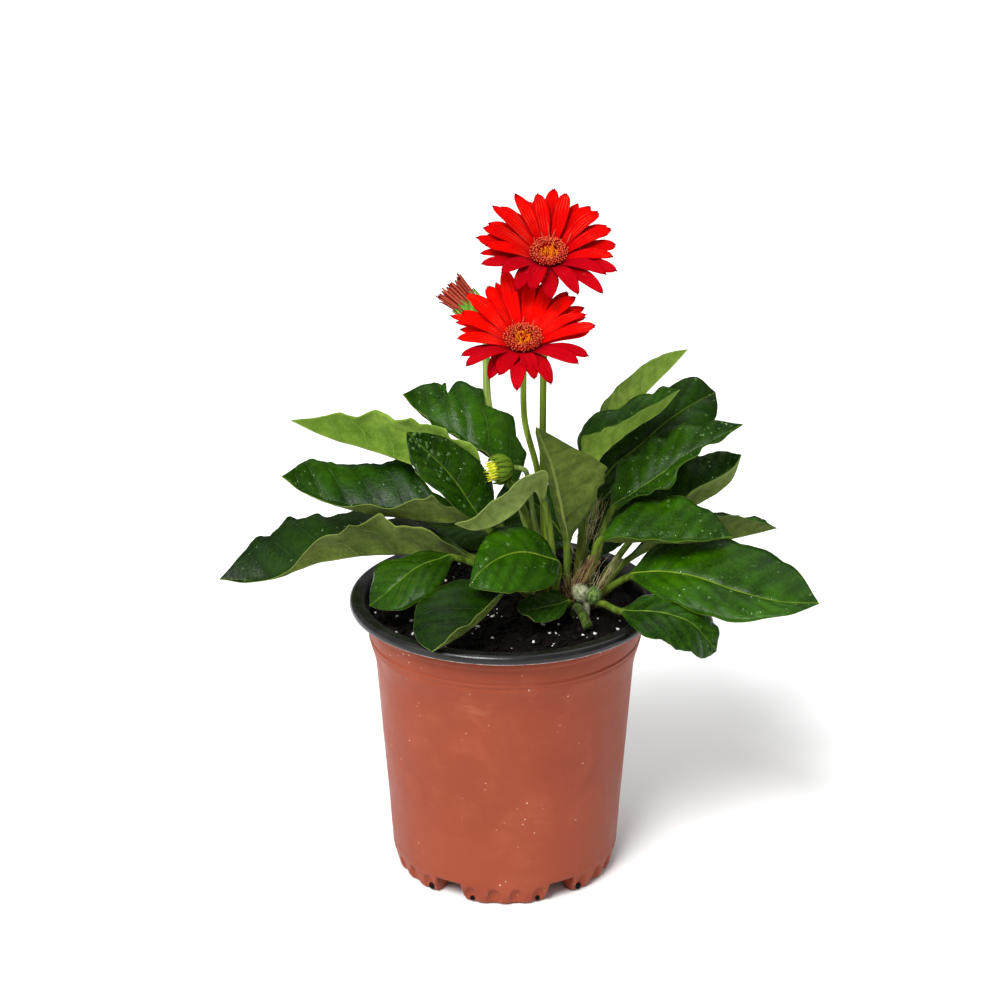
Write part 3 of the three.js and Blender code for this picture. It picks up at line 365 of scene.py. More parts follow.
def grid_faces(rows, columns, wrap=False):
    """Quads over a grid of rows by columns points; wrap joins the last column to the first."""
    i, j = np.meshgrid(np.arange(rows - 1), np.arange(columns if wrap else columns - 1), indexing="ij")
    k = (j + 1) % columns
    row, after = i * columns, (i + 1) * columns
    return np.stack([row + j, row + k, after + k, after + j], -1).reshape(-1, 4)


def capped_faces(rows, sides):
    """Faces over closed rings whose first and last one fan in to two points that follow them."""
    faces = [tuple(f) for f in grid_faces(rows, sides, wrap=True)]
    foot, top = rows * sides, rows * sides + 1
    last = (rows - 1) * sides
    for j in range(sides):
        k = (j + 1) % sides
        faces += [(foot, k, j), (top, last + j, last + k)]
    return faces


def outward(points, faces):
    """The faces, turned over together if they point inwards."""
    p = np.asarray(points, float).reshape(-1, 3)
    total = sum(np.dot(p[f[0]], np.cross(p[f[k]], p[f[k + 1]])) for f in faces for k in range(1, len(f) - 1))
    return [tuple(reversed(f)) for f in faces] if total < 0 else [tuple(f) for f in faces]


def loft(rings):
    """(points, faces) of a closed skin over rings of equal count."""
    rings = np.asarray(rings, float)
    points = np.vstack([rings.reshape(-1, 3), rings[0].mean(0), rings[-1].mean(0)])
    return points, outward(points, capped_faces(*rings.shape[:2]))


def tube(points, root_radius, tip_radius, rings, sides, ribs=0.0, bend=0.0, seed=1):
    """(points, faces, uv) of a round stem along a curve, with faint ribs."""
    curve = rail(points)
    u = np.linspace(0, 1, rings)
    angle = np.arange(sides) * 2 * np.pi / sides
    side = np.array([1.0, 0, 0])
    out = []
    for c, t, k in zip(curve(u), tangents(curve, u), u):
        up = unit(np.cross(t, side))
        side = unit(np.cross(up, t))
        radius = root_radius + (tip_radius - root_radius) * k
        r = radius * (1 + ribs * np.cos(angle * 5 + k * 3) + bend * drift(np.array([k]), seed, 3)[0])
        out.append(c + np.outer(r * np.cos(angle), side) + np.outer(r * np.sin(angle), up))
    uv = np.array([[j / sides, k] for k in u for j in range(sides)] + [[0.5, 0], [0.5, 1]])
    return *loft(out), uv


def spun(profile, sides, shape=None):
    """(points, faces, uv) of a body of revolution whose profile runs from axis to axis."""
    angle = np.arange(sides) * 2 * np.pi / sides
    rings = []
    for k, (r, z) in enumerate(profile[1:-1]):
        rr, zz = np.full(sides, float(r)), np.full(sides, float(z))
        if shape:
            rr, zz = shape(rr, zz, angle, k)
        rings.append(np.stack([rr * np.cos(angle), rr * np.sin(angle), zz], -1))
    n = len(rings)
    points = np.vstack([*rings, (0, 0, profile[0][1]), (0, 0, profile[-1][1])])
    uv = np.array([[a, i / n] for i in range(n) for a in angle / (2 * np.pi)] + [[0, 0], [0, 1]])
    return points, outward(points, capped_faces(n, sides)), uv


def grid_normals(mid):
    """Unit normals of a grid of points: down its columns crossed with along its rows."""
    return unit(np.cross(np.gradient(mid, axis=0), np.gradient(mid, axis=1)))


def blade(mid, thickness, uv):
    """(points, faces, uv) of a thin closed blade: both faces of a grid mid[rows, columns]."""
    columns = mid.shape[1]
    off = grid_normals(mid) * (thickness / 2)
    rings = np.concatenate([mid + off, (mid - off)[:, ::-1]], axis=1)
    maps = np.concatenate([uv, uv[:, ::-1]], axis=1)
    n, k = rings.shape[:2]
    faces = [tuple(f) for f in grid_faces(n, k, wrap=True)]
    last = (n - 1) * k
    for a in range(columns - 1):
        b = k - 1 - a
        faces.append((a, a + 1, b - 1, b))
        faces.append((last + a, last + b, last + b - 1, last + a + 1))
    return rings.reshape(-1, 3), outward(rings, faces), maps.reshape(-1, 2)


def hairs(roots, directions, length, radius, seed):
    """(points, faces) of fine straight hairs, each a slim closed spike."""
    rng = np.random.default_rng(seed)
    roots = np.asarray(roots, float)
    ways = unit(np.asarray(directions, float) + rng.normal(0, 0.28, roots.shape))
    side = unit(np.cross(ways, rng.normal(size=roots.shape)))
    other = np.cross(ways, side)
    n = len(roots)
    long_ = length * rng.uniform(0.6, 1.25, (n, 1))
    points = np.stack([
        roots + side * radius,
        roots - side * radius * 0.5 + other * radius * 0.87,
        roots - side * radius * 0.5 - other * radius * 0.87,
        roots + ways * long_], 1).reshape(-1, 3)
    base = np.arange(n)[:, None] * 4
    faces = np.concatenate([base + [0, 2, 1], base + [0, 1, 3], base + [1, 2, 3], base + [2, 0, 3]])
    return points, [tuple(f) for f in faces]


# ------------------------------------------------------------------ materials

def srgb(red, green, blue):
    """A colour given as 0 to 255 on screen, as the shader wants it."""
    linear = [((c / 255 + 0.055) / 1.055) ** 2.4 if c > 10 else c / 255 / 12.92 for c in (red, green, blue)]
    return (*linear, 1.0)


class Finish:
    """A material and short ways to add and join its nodes."""

    def __init__(self, name, **sockets):
        self.material = bpy.data.materials.new(name)
        self.material.use_nodes = True
        self.tree = self.material.node_tree
        self.shader = self.tree.nodes["Principled BSDF"]
        for key, value in sockets.items():
            self.shader.inputs[key.replace("_", " ").title().replace("Ior", "IOR")].default_value = value

    def node(self, kind):
        return self.tree.nodes.new("ShaderNode" + kind)

    def put(self, socket, value):
        if isinstance(value, bpy.types.NodeSocket):
            self.tree.links.new(value, socket)
        else:
            socket.default_value = value

    def maths(self, operation, a, b=0.0):
        made = self.node("Math")
        made.operation = operation
        self.put(made.inputs[0], a)
        self.put(made.inputs[1], b)
        return made.outputs[0]

    def times(self, a, b):
        return self.maths("MULTIPLY", a, b)

    def plus(self, a, b):
        return self.maths("ADD", a, b)

    def size(self, a):
        return self.maths("ABSOLUTE", a)

    def ramp(self, value, low, high, start=0.0, end=1.0):
        """value taken smoothly from low..high to start..end."""
        made = self.node("MapRange")
        made.interpolation_type = "SMOOTHSTEP"
        for k, v in enumerate((value, low, high, start, end)):
            self.put(made.inputs[k], v)
        return made.outputs[0]

    def mix(self, factor, a, b):
        made = self.node("Mix")
        made.data_type = "RGBA"
        for k, v in ((0, factor), (6, a), (7, b)):
            self.put(made.inputs[k], v)
        return made.outputs[2]

    def place(self, stretch):
        coords = self.node("TexCoord").outputs["Object"]
        if stretch == (1, 1, 1):
            return coords
        made = self.node("Mapping")
        self.put(made.inputs[0], coords)
        made.inputs["Scale"].default_value = stretch
        return made.outputs[0]

    def noise(self, scale, detail, roughness=0.55, stretch=(1, 1, 1), distortion=0.0):
        made = self.node("TexNoise")
        self.put(made.inputs["Vector"], self.place(stretch))
        made.inputs["Scale"].default_value = scale
        made.inputs["Detail"].default_value = detail
        made.inputs["Roughness"].default_value = roughness
        made.inputs["Distortion"].default_value = distortion
        return made.outputs["Fac"]

    def cells(self, scale, feature="DISTANCE_TO_EDGE"):
        made = self.node("TexVoronoi")
        made.feature = feature
        self.put(made.inputs["Vector"], self.place((1, 1, 1)))
        made.inputs["Scale"].default_value = scale
        return made.outputs["Distance"]

    def map(self, name):
        """(across, along) of one of the piece's UV maps."""
        made = self.node("UVMap")
        made.uv_map = name
        apart = self.node("SeparateXYZ")
        self.put(apart.inputs[0], made.outputs[0])
        return apart.outputs[0], apart.outputs[1]

    def bump(self, height, strength, distance):
        made = self.node("Bump")
        made.inputs["Strength"].default_value = strength
        made.inputs["Distance"].default_value = distance
        self.put(made.inputs["Height"], height)
        self.put(self.shader.inputs["Normal"], made.outputs[0])

    def colour(self, value):
        self.put(self.shader.inputs["Base Color"], value)

    def rough(self, value):
        self.put(self.shader.inputs["Roughness"], value)


# the last colour is the petiole's red-brown foot, deepened as painted shade near the crown
PETIOLE_DARK, PETIOLE_LIGHT, PETIOLE_BLUSH_AND_SHADE = srgb(58, 78, 16), srgb(100, 122, 40), srgb(98, 54, 38)


def leaf_finish(name, dark, light, vein, rib, roughness, felt, relief):
    """One face of a leaf: tone, side veins, fine net, midrib and petiole.

    The Veins map holds the phase of the side veins, and the distance from the midrib in millimetres.
    """
    f = Finish(name, sheen_weight=felt, sheen_roughness=0.5, specular_ior_level=0.05 if felt else 0.09)
    across, along = f.map("Blade")
    phase, out = f.map("Veins")
    tone, cloud, fine = f.noise(22, 4), f.noise(70, 3), f.noise(420, 3)
    colour = f.mix(f.ramp(tone, 0.34, 0.68), dark, light)
    colour = f.mix(f.ramp(cloud, 0.45, 0.75, 0, 0.35), colour, light)
    net = f.ramp(f.cells(360), 0.0, 0.11, 1, 0)
    colour = f.mix(f.times(net, 0.28 if felt else 0.2), colour, vein)
    near_vein = f.maths("PINGPONG", phase, 0.5)
    vein_line = f.times(f.ramp(near_vein, 0.006, 0.03, 1, 0), f.ramp(f.size(across), 0.7, 0.95, 1, 0))
    vein_line = f.times(vein_line, f.ramp(cloud, 0.36, 0.56, 0.35, 1))
    colour = f.mix(f.times(vein_line, 0.7 if felt else 0.55), colour, vein)
    # painted light: lighter in the middle of each pillow between two side veins
    colour = f.mix(f.ramp(near_vein, 0.16, 0.46, 0, 0.3), colour, light)
    # painted shade: darker along each side vein
    colour = f.mix(f.times(f.ramp(near_vein, 0.03, 0.22, 1, 0), 0.3 if felt else 0.38), colour, dark)
    colour = f.mix(f.ramp(f.noise(240, 4), 0.4, 0.64, 0, 0.5 if felt else 0.35), colour, dark)
    colour = f.mix(f.ramp(along, 0.4 if felt else 0.7, 1.0, 0, 0.55), colour, dark)
    midrib = f.ramp(out, 0.25, 0.75, 1, 0)
    colour = f.mix(f.times(midrib, f.ramp(along, 0.15, 0.9, 0.8, 0.3)), colour, rib)
    colour = f.mix(f.ramp(f.size(across), 0.98, 1.0, 0, 0.35), colour, rib)
    lines = f.noise(55, 3, stretch=(5, 5, 0.4))
    petiole = f.mix(f.ramp(lines, 0.36, 0.62), PETIOLE_DARK, PETIOLE_LIGHT)
    # towards its foot the petiole turns red-brown: its own blush, darkened further as painted shade near the
    # crown
    blush_and_shade = f.times(f.ramp(along, -0.95, -0.3, 1, 0), f.ramp(tone, 0.34, 0.6, 0.15, 1))
    petiole = f.mix(blush_and_shade, petiole, PETIOLE_BLUSH_AND_SHADE)
    f.colour(f.mix(f.ramp(along, -0.02, 0.07, 1, 0), colour, petiole))
    height = f.plus(f.times(vein_line, relief), f.times(net, relief * 0.2))
    height = f.plus(height, f.times(f.noise(150, 2), 0.8))
    f.bump(f.plus(height, f.times(fine, 0.45)), 0.5, 0.0006)
    f.rough(f.ramp(cloud, 0.3, 0.75, roughness - 0.07, roughness + 0.1))
    return f.material


def stalk_finish(name, base, deep, foot, bruise=None):
    """A downy green stalk with fine lengthwise lines; bruise is the place of a dark spot along it."""
    f = Finish(name, sheen_weight=0.06, roughness=0.6, specular_ior_level=0.15)
    _, along = f.map("Stem")
    lines = f.noise(60, 3, stretch=(6, 6, 0.35))
    colour = f.mix(f.ramp(lines, 0.35, 0.65), deep, base)
    colour = f.mix(f.ramp(along, 0.05, 0.3, 1, 0), colour, foot)
    if bruise:
        away = f.size(f.maths("SUBTRACT", along, bruise))
        spot = f.times(f.ramp(away, 0.04, 0.12, 1, 0), f.ramp(f.noise(120, 3), 0.5, 0.6))
        colour = f.mix(spot, colour, srgb(80, 18, 12))
    f.colour(colour)
    f.bump(lines, 0.3, 0.0004)
    return f.material


def ray_finish(name, root, body, edge, tip, lines=0.35, streak_highlight=None, rim=0.82):
    """A velvety ray floret with darker grooves and a few paler streaks, which are painted highlights; rim is
    where its edge begins.
    """
    f = Finish(name, roughness=0.6, specular_ior_level=0.0, subsurface_weight=0.35, subsurface_scale=0.001,
               subsurface_radius=(1.0, 0.12, 0.08))
    across, along = f.map("Ray")
    groove = f.size(f.maths("SINE", f.times(across, 9.4)))
    grain, cloud = f.noise(260, 3), f.noise(55, 3)
    colour = f.mix(f.ramp(along, 0.0, 0.35), root, body)
    colour = f.mix(f.times(f.ramp(groove, 0.0, 0.5, lines, 0), f.ramp(cloud, 0.35, 0.6)), colour, edge)
    # painted highlights: paler streaks along the ray
    if streak_highlight:
        wander = f.plus(f.times(across, 7.4), f.times(f.noise(40, 2), 5.0))
        highlight_line = f.ramp(f.size(f.maths("SINE", wander)), 0.86, 1.0)
        colour = f.mix(f.times(highlight_line, f.ramp(cloud, 0.48, 0.7, 0, 0.42)), colour, streak_highlight)
    colour = f.mix(f.ramp(f.noise(34, 2), 0.42, 0.64, 0, 0.3), colour, edge)
    colour = f.mix(f.ramp(f.size(across), rim, 1.0, 0, 0.45 if rim > 0.8 else 1), colour, edge)
    colour = f.mix(f.ramp(along, 0.9, 1.0, 0, 0.75), colour, tip)
    f.colour(f.mix(f.ramp(grain, 0.3, 0.75, 0, 0.15), colour, edge))
    f.bump(f.plus(f.times(groove, 0.6), f.times(grain, 0.3)), 0.35, 0.0004)
    return f.material


def plain_finish(name, dark, light, scale, roughness, **sockets):
    """A mottled finish for small pieces."""
    f = Finish(name, **sockets)
    grain = f.noise(scale, 4)
    f.colour(f.mix(f.ramp(grain, 0.3, 0.7), dark, light))
    f.rough(f.ramp(grain, 0.3, 0.7, roughness - 0.08, roughness + 0.08))
    f.bump(grain, 0.35, 0.0005)
    return f.material


def terracotta_finish():
    """Satin plastic skin with scuffs, pale dust specks and faint drawn rings."""
    s = bpy.context.scene.gerbera_pot
    f = Finish("terracotta_skin", specular_ior_level=0.12)
    broad, cloud, fine = f.noise(9, 4), f.noise(48, 5), f.noise(900, 2)
    scuff = f.noise(60, 4, stretch=(0.5, 0.5, 2), distortion=0.6)
    rings = f.noise(16, 2, stretch=(0.02, 0.02, 14))
    colour = f.mix(f.ramp(broad, 0.3, 0.7), (*s.skin_shade, 1), (*s.skin_colour, 1))
    colour = f.mix(f.ramp(cloud, 0.45, 0.8, 0, 0.14), colour, srgb(196, 112, 84))
    colour = f.mix(f.ramp(scuff, 0.64, 0.8, 0, 0.12), colour, srgb(206, 140, 112))
    specks = f.times(f.ramp(f.cells(210, "F1"), 0.05, 0.13, 1, 0), f.ramp(cloud, 0.5, 0.66))
    colour = f.mix(f.times(specks, 0.75), colour, srgb(236, 206, 190))
    dots = f.times(f.ramp(f.cells(330, "F1"), 0.04, 0.1, 1, 0), f.ramp(broad, 0.5, 0.62))
    f.colour(f.mix(f.times(dots, 0.6), colour, srgb(92, 44, 32)))
    f.rough(f.ramp(cloud, 0.3, 0.75, 0.38, 0.55))
    height = f.plus(f.times(rings, 0.6), f.times(fine, 0.25))
    f.bump(f.plus(height, f.times(scuff, 0.3)), 0.25, 0.0006)
    return f.material


def lining_finish():
    """Black plastic with rubbed grey edges and a little dust."""
    f = Finish("black_lining", specular_ior_level=0.4)
    cloud = f.noise(60, 4)
    rub = f.noise(160, 4, stretch=(1, 1, 3))
    colour = f.mix(f.ramp(cloud, 0.35, 0.75), srgb(8, 7, 8), srgb(22, 21, 23))
    f.colour(f.mix(f.ramp(rub, 0.64, 0.8, 0, 0.25), colour, srgb(104, 102, 100)))
    f.rough(f.ramp(cloud, 0.3, 0.7, 0.2, 0.34))
    f.bump(rub, 0.2, 0.0004)
    return f.material


def mix_finish():
    """Moist dark bark and peat, darkened further as painted shade under the leaves."""
    f = Finish("bark_and_peat", specular_ior_level=0.12)
    coarse, fine = f.noise(140, 5, 0.65), f.noise(620, 4, 0.7)
    # painted shade: near-black, darker than damp peat, for the shade under the leaves
    colour = f.mix(f.ramp(coarse, 0.35, 0.7), srgb(3, 1, 1), srgb(13, 8, 6))
    f.colour(f.mix(f.ramp(fine, 0.62, 0.8, 0, 0.3), colour, srgb(44, 30, 24)))
    f.rough(f.ramp(fine, 0.3, 0.7, 0.5, 0.9))
    f.bump(f.plus(coarse, f.times(fine, 0.6)), 0.9, 0.002)
    return f.material


def water_finish(name, low, high):
    """Half-clear beads with a sharp glint; their pale body is painted light, for the light that clear water
    catches and bends.
    """
    f = Finish(name, roughness=0.07, specular_ior_level=0.7)
    # painted light: the pale body colour of the beads
    f.colour(f.mix(f.noise(500, 2), low, high))
    f.shader.inputs["Alpha"].default_value = 0.28
    return f.material


# ------------------------------------------------------------------ leaves

# each tone's dark, light, vein and rib colours; lime leaves are seen from their felted underside
LEAF_TOPS = {
    "dim": (srgb(6, 24, 0), srgb(28, 56, 2), srgb(48, 80, 12), srgb(92, 116, 34)),
    "deep": (srgb(10, 32, 0), srgb(37, 72, 3), srgb(58, 96, 16), srgb(98, 126, 36)),
    "mid": (srgb(12, 37, 2), srgb(44, 82, 10), srgb(66, 108, 24), srgb(106, 136, 44)),
    "fresh": (srgb(14, 42, 0), srgb(46, 88, 2), srgb(68, 110, 12), srgb(124, 150, 44)),
}
LEAF_UNDERS = {
    "olive": (srgb(52, 68, 20), srgb(96, 114, 44), srgb(112, 128, 56), srgb(124, 138, 66)),
    "grey": (srgb(62, 80, 24), srgb(110, 130, 54), srgb(130, 146, 70), srgb(144, 158, 84)),
    "pale": (srgb(92, 110, 46), srgb(130, 150, 76), srgb(146, 162, 90), srgb(152, 166, 96)),
    "lime": (srgb(74, 104, 22), srgb(128, 158, 58), srgb(146, 172, 76), srgb(154, 174, 84)),
    "bright": (srgb(104, 136, 38), srgb(156, 190, 76), srgb(168, 196, 92), srgb(172, 194, 96)),
}

LEAF_COLUMNS = 25
DOWN_LENGTH = 1.3
DOWN_RADIUS = 0.05
VEIN_RISE = 0.22
MIDRIB_GROOVE = 0.45
# the Veins map where there are no veins: half way between two, and far from the midrib
BARE = (0.5, 4.0)


def leaf_margin(v, curve, centre, lobes, phase, depth, wave, seed, teeth=()):
    """A margin's points, drawn in between its lobes; teeth are (place, height, width)."""
    envelope = np.sqrt(np.sin(np.pi * v))[:, None]
    lobe = (np.abs(np.sin(np.pi * (lobes * v + phase))) - 0.6)[:, None]
    nibble = (0.035 * drift(v, seed, 4.0) + 0.02 * drift(v, seed + 7, 9.0))[:, None]
    tooth = sum(high * np.maximum(1 - np.abs(v - at) / wide, 0) for at, high, wide in teeth) + 0 * v
    return centre + (curve(v) - centre) * (1 + envelope * (depth * lobe + wave * nibble) + tooth[:, None])


class LeafForm:
    """The shape of one leaf, in millimetres.

    v runs from 0 at the blade's start to 1 at its tip, and s from 1 at the far margin to -1 at the near one.
    """

    def __init__(self, leaf, settings, seed):
        self.leaf, self.settings, self.seed = leaf, settings, seed
        self.lobes, self.wave = leaf["lobes"], leaf.get("wave", 1)
        self.midrib, self.far, self.near = (np.array(leaf[k], float) for k in ("midrib", "far", "near"))
        steps = np.arange(LEAF_COLUMNS) / (LEAF_COLUMNS // 2) - 1
        self.s = -np.sign(steps) * np.abs(steps) ** 1.45
        self.round = np.sin(np.pi * self.s / 2)
        self.high = np.sqrt(np.maximum(1 - self.round ** 2, 0)) + 0.05
        self.collar = np.array([*root_place(leaf["root"]), SOIL_Z + 2.5])
        way = self.midrib[0] - self.collar
        neck = self.collar + way * 0.45 + (0, 0, 0.1 * math.hypot(way[0], way[1]))
        self.spine = rail([self.collar, neck, *self.midrib])
        self.spans = len(self.midrib) + 1

    def petiole(self):
        """(centres, tops, undersides, Blade map) of round sections, from in the mix to the blade's start."""
        x, y, z = self.collar
        u = np.linspace(0.0, 1.93, 15) / self.spans
        centres = np.vstack([(x, y, SOIL_Z - ROOT_DEPTH + 1.5), (x, y, z - 3.0), self.spine(u)])
        ways = np.vstack([[(0, 0, 1.0)] * 3, tangents(self.spine, u)[1:]])
        across = self.far[0] - self.near[0]
        run = np.concatenate([[0], np.cumsum(np.linalg.norm(np.diff(centres, axis=0), axis=1))])
        tops, unders, maps = [], [], []
        for centre, way, distance in zip(centres, ways, run):
            side = unit(across - way * np.dot(across, way))
            wide = centre + np.outer(self.round, side) * PETIOLE_RADIUS
            thick = np.outer(self.high, unit(np.cross(side, way))) * PETIOLE_RADIUS
            tops.append(wide + thick)
            unders.append(wide - thick)
            maps.append(np.stack([self.s, np.full(LEAF_COLUMNS, -1 + distance / (run[-1] + 2))], -1))
        return centres, np.array(tops), np.array(unders), np.array(maps)

    def margins(self, v, centre):
        """The far and the near margin, with room for the midrib between them."""
        rails = [rail([self.midrib[0], *edge, self.midrib[-1]]) for edge in (self.far, self.near)]
        held = np.clip(v, 0.1, 0.9)
        sideways = unit(rails[0](held) - rails[1](held))
        room = (PETIOLE_RADIUS * (1 - 0.6 * v) * np.minimum((1 - v) * 12, 1) + 0.15)[:, None]
        teeth, depth = self.leaf.get("teeth", {}), self.settings.lobe_depth * self.wave
        outer, inner = (
            leaf_margin(v, curve, centre, self.lobes, phase, depth, self.wave, seed, teeth.get(edge, ()))
            for curve, phase, seed, edge in ((rails[0], 0.15, self.seed, "far"),
                                             (rails[1], 0.45, self.seed + 50, "near")))
        return outer + sideways * room, inner - sideways * room

    def vein_phase(self, v, width, length):
        """A number that passes a whole one at each side vein, on grids of v by s."""
        a = np.abs(self.s)
        pairs = self.settings.vein_pairs * (0.75 + 0.1 * self.lobes)
        lean = 0.85 * width / max(length, 1)
        phase = pairs * (v - lean * a * (0.75 + 0.35 * a)) + np.where(self.s < 0, 0.5, 0.0)
        return phase + 0.1 * drift(v[:, 0], self.seed + 3, 2.0)[:, None] * a

    def lift(self, v, width, phase, sign):
        """How far the middle surface rises: crowned halves, pillows between veins and ruffled margins."""
        a, far_side = np.abs(self.s), self.s > 0
        envelope = np.sin(np.pi * v)
        pillow = np.abs(np.sin(np.pi * phase)) ** 0.8 * np.sin(np.pi * a ** 0.8) ** 0.7
        ruffle = np.where(far_side, np.sin(2 * np.pi * (self.lobes * v - 0.6)),
                          -np.sin(2 * np.pi * (self.lobes * v + 0.6)))
        curl = drift(v[:, 0], self.seed + 11, 1.6)[:, None] * np.where(far_side, 1.0, -0.8)
        crown = PILLOW * width * envelope * 4 * a * (1 - a)
        quilt = self.settings.quilt * np.minimum(width / 22, 1.2) * pillow * np.minimum(envelope * 2.5, 1)
        waves = self.settings.ruffle * envelope * (self.wave * ruffle * a ** 2.6 + 0.7 * curl * a ** 2)
        return sign * (crown + quilt) + waves

    def thicknesses(self, v, offset, phase):
        """(over, under) from the middle surface: a grooved upper face, a ribbed and veined underside."""
        a = np.abs(self.s)
        half = (self.settings.thickness / 2) * (1 - 0.35 * a)
        rib = 0.85 * PETIOLE_RADIUS * (1 - 0.78 * v)
        ridge = (rib - half) * np.exp(-(offset / (rib * 1.05)) ** 2)
        from_vein = np.abs((phase + 0.5) % 1 - 0.5)
        ridge = ridge + VEIN_RISE * np.exp(-(from_vein / 0.07) ** 2) * np.sin(np.pi * np.minimum(a + 0.1, 1))
        groove = MIDRIB_GROOVE * np.exp(-(offset / 1.1) ** 2) * (1 - 0.6 * v)
        return half - groove, half + ridge

    def blade(self):
        """(tops, undersides, Blade map, Veins map, normals, 1 if the tops look up or else -1)."""
        rows = self.settings.rows
        along = np.linspace(0, 1, rows + 1) ** 0.96
        centre = self.spine((2 + (self.spans - 2) * along) / self.spans)
        outer, inner = self.margins(along, centre)
        v = along[:, None]
        grown = smooth(v * 6)
        sx = self.round + (self.s - self.round) * grown
        bend = np.sqrt(sx ** 2 + 0.004)
        left, right = (sx + bend) / 2, (bend - sx) / 2
        mid = centre[:, None] + left[..., None] * (outer - centre)[:, None]
        mid = mid + right[..., None] * (inner - centre)[:, None]
        facing = grid_normals(mid)
        sign = 1.0 if facing[rows // 6:, :, 2].sum() > 0 else -1.0
        width = (np.linalg.norm(outer - centre, axis=1) + np.linalg.norm(inner - centre, axis=1))[:, None] / 2
        phase = self.vein_phase(v, width, np.linalg.norm(np.diff(centre, axis=0), axis=1).sum())
        mid = mid + facing * (self.lift(v, width, phase, sign) * grown)[..., None]
        facing = grid_normals(mid)
        offset = np.abs(sx) * width
        faces = self.thicknesses(v, offset, phase)
        stalk = PETIOLE_RADIUS * self.high
        upper, lower = (stalk + (t - stalk) * grown for t in (faces if sign > 0 else faces[::-1]))
        maps = np.stack(np.broadcast_arrays(self.s, v), -1)
        return (mid + facing * upper[..., None], mid - facing * lower[..., None], maps,
                np.stack([phase, offset], -1), facing, sign)


def both_sides(grid):
    """A map over a leaf's tops, for a loft of its tops and undersides with their two end points."""
    middle = LEAF_COLUMNS // 2
    round_ = np.concatenate([grid, grid[:, ::-1]], axis=1)
    return np.vstack([round_.reshape(-1, 2), grid[0, middle], grid[-1, middle]])


def make_leaf(leaf, settings, seed):
    """(body, points of the upper face, its normals) of one leaf with its petiole."""
    form = LeafForm(leaf, settings, seed)
    centres, tops, unders, maps = form.petiole()
    blade_top, blade_under, blade_maps, blade_veins, facing, sign = form.blade()
    veins = np.broadcast_to(BARE, maps.shape)
    rings = np.concatenate([np.concatenate([tops, blade_top]),
                            np.concatenate([unders, blade_under])[:, ::-1]], axis=1)
    points, faces = loft(rings)
    n, c = rings.shape[:2]
    mark = [0 if (f[0] % c < LEAF_COLUMNS - 1) == (sign > 0) else 1 for f in grid_faces(n, c, wrap=True)]
    mark += [1] * (len(faces) - len(mark))
    body = Body()
    body.add(points, faces, mark, Blade=both_sides(np.concatenate([maps, blade_maps])),
             Veins=both_sides(np.concatenate([veins, blade_veins])))

    # down on the petiole
    rng = np.random.default_rng(seed)
    count = settings.down
    rows, columns = rng.integers(2, len(tops), count), rng.integers(1, LEAF_COLUMNS - 1, count)
    feet = np.where(rng.random(count)[:, None] < 0.5, tops[rows, columns], unders[rows, columns])
    hair, hair_faces = hairs(feet, feet - centres[rows], DOWN_LENGTH, DOWN_RADIUS, seed)
    map_size = (len(hair), 2)
    body.add(hair, hair_faces, 1, Blade=np.full(map_size, (0, -0.3)), Veins=np.full(map_size, BARE))
    return body, blade_top if sign > 0 else blade_under, facing * sign


def drop_domes(places, normals, radii, seed):
    """(points, faces) of flattened domes of water that sit on a surface."""
    rng = np.random.default_rng(seed)
    sides, levels, flat = 9, (1.0, 0.85, 0.62, 0.35), 0.52
    angle = np.arange(sides) * 2 * np.pi / sides
    shell = capped_faces(len(levels), sides)
    points, faces, count = [], [], 0
    for place, normal, radius in zip(places, normals, radii):
        side = unit(np.cross(normal, (0.3, 1, 0.2)))
        other = np.cross(normal, side)
        turn, long_ = rng.uniform(0, 6.28), rng.uniform(1, 1.35)
        ring = np.stack([np.cos(angle) * long_, np.sin(angle)], -1)
        ring = ring @ np.array([[math.cos(turn), math.sin(turn)], [-math.sin(turn), math.cos(turn)]])
        for level in levels:
            high = flat * radius * math.sqrt(1 - (level * 0.985) ** 2) - 0.05
            spot = ring * level * radius
            points.append(place + normal * high + np.outer(spot[:, 0], side) + np.outer(spot[:, 1], other))
        points.append([place - normal * 0.12, place + normal * (flat * radius - 0.05)])
        faces += [tuple(i + count for i in f) for f in shell]
        count += len(levels) * sides + 2
    return np.vstack(points), faces


class LeafSettings(bpy.types.PropertyGroup):
    rows: bpy.props.IntProperty(
        name="Rows", description="Rows of faces along each blade", default=84, min=12, max=200)
    thickness: bpy.props.FloatProperty(
        name="Thickness", description="Blade thickness in millimetres", default=0.62)
    lobe_depth: bpy.props.FloatProperty(
        name="Lobe depth", description="How far a margin draws in between lobes, of the half width",
        default=LOBE_DEPTH)
    ruffle: bpy.props.FloatProperty(
        name="Ruffle", description="Height of the waves in a margin, in millimetres", default=RUFFLE)
    quilt: bpy.props.FloatProperty(
        name="Quilting", description="Rise of the blade between its side veins, in millimetres", default=0.85)
    vein_pairs: bpy.props.FloatProperty(
        name="Vein pairs", description="Side veins along a blade", default=6.0)
    down: bpy.props.IntProperty(name="Down", description="Fine hairs on each petiole", default=240, min=1)
    wetness: bpy.props.FloatProperty(
        name="Wetness", description="Number of water drops on the leaves, of the tables", default=1.6, min=0)


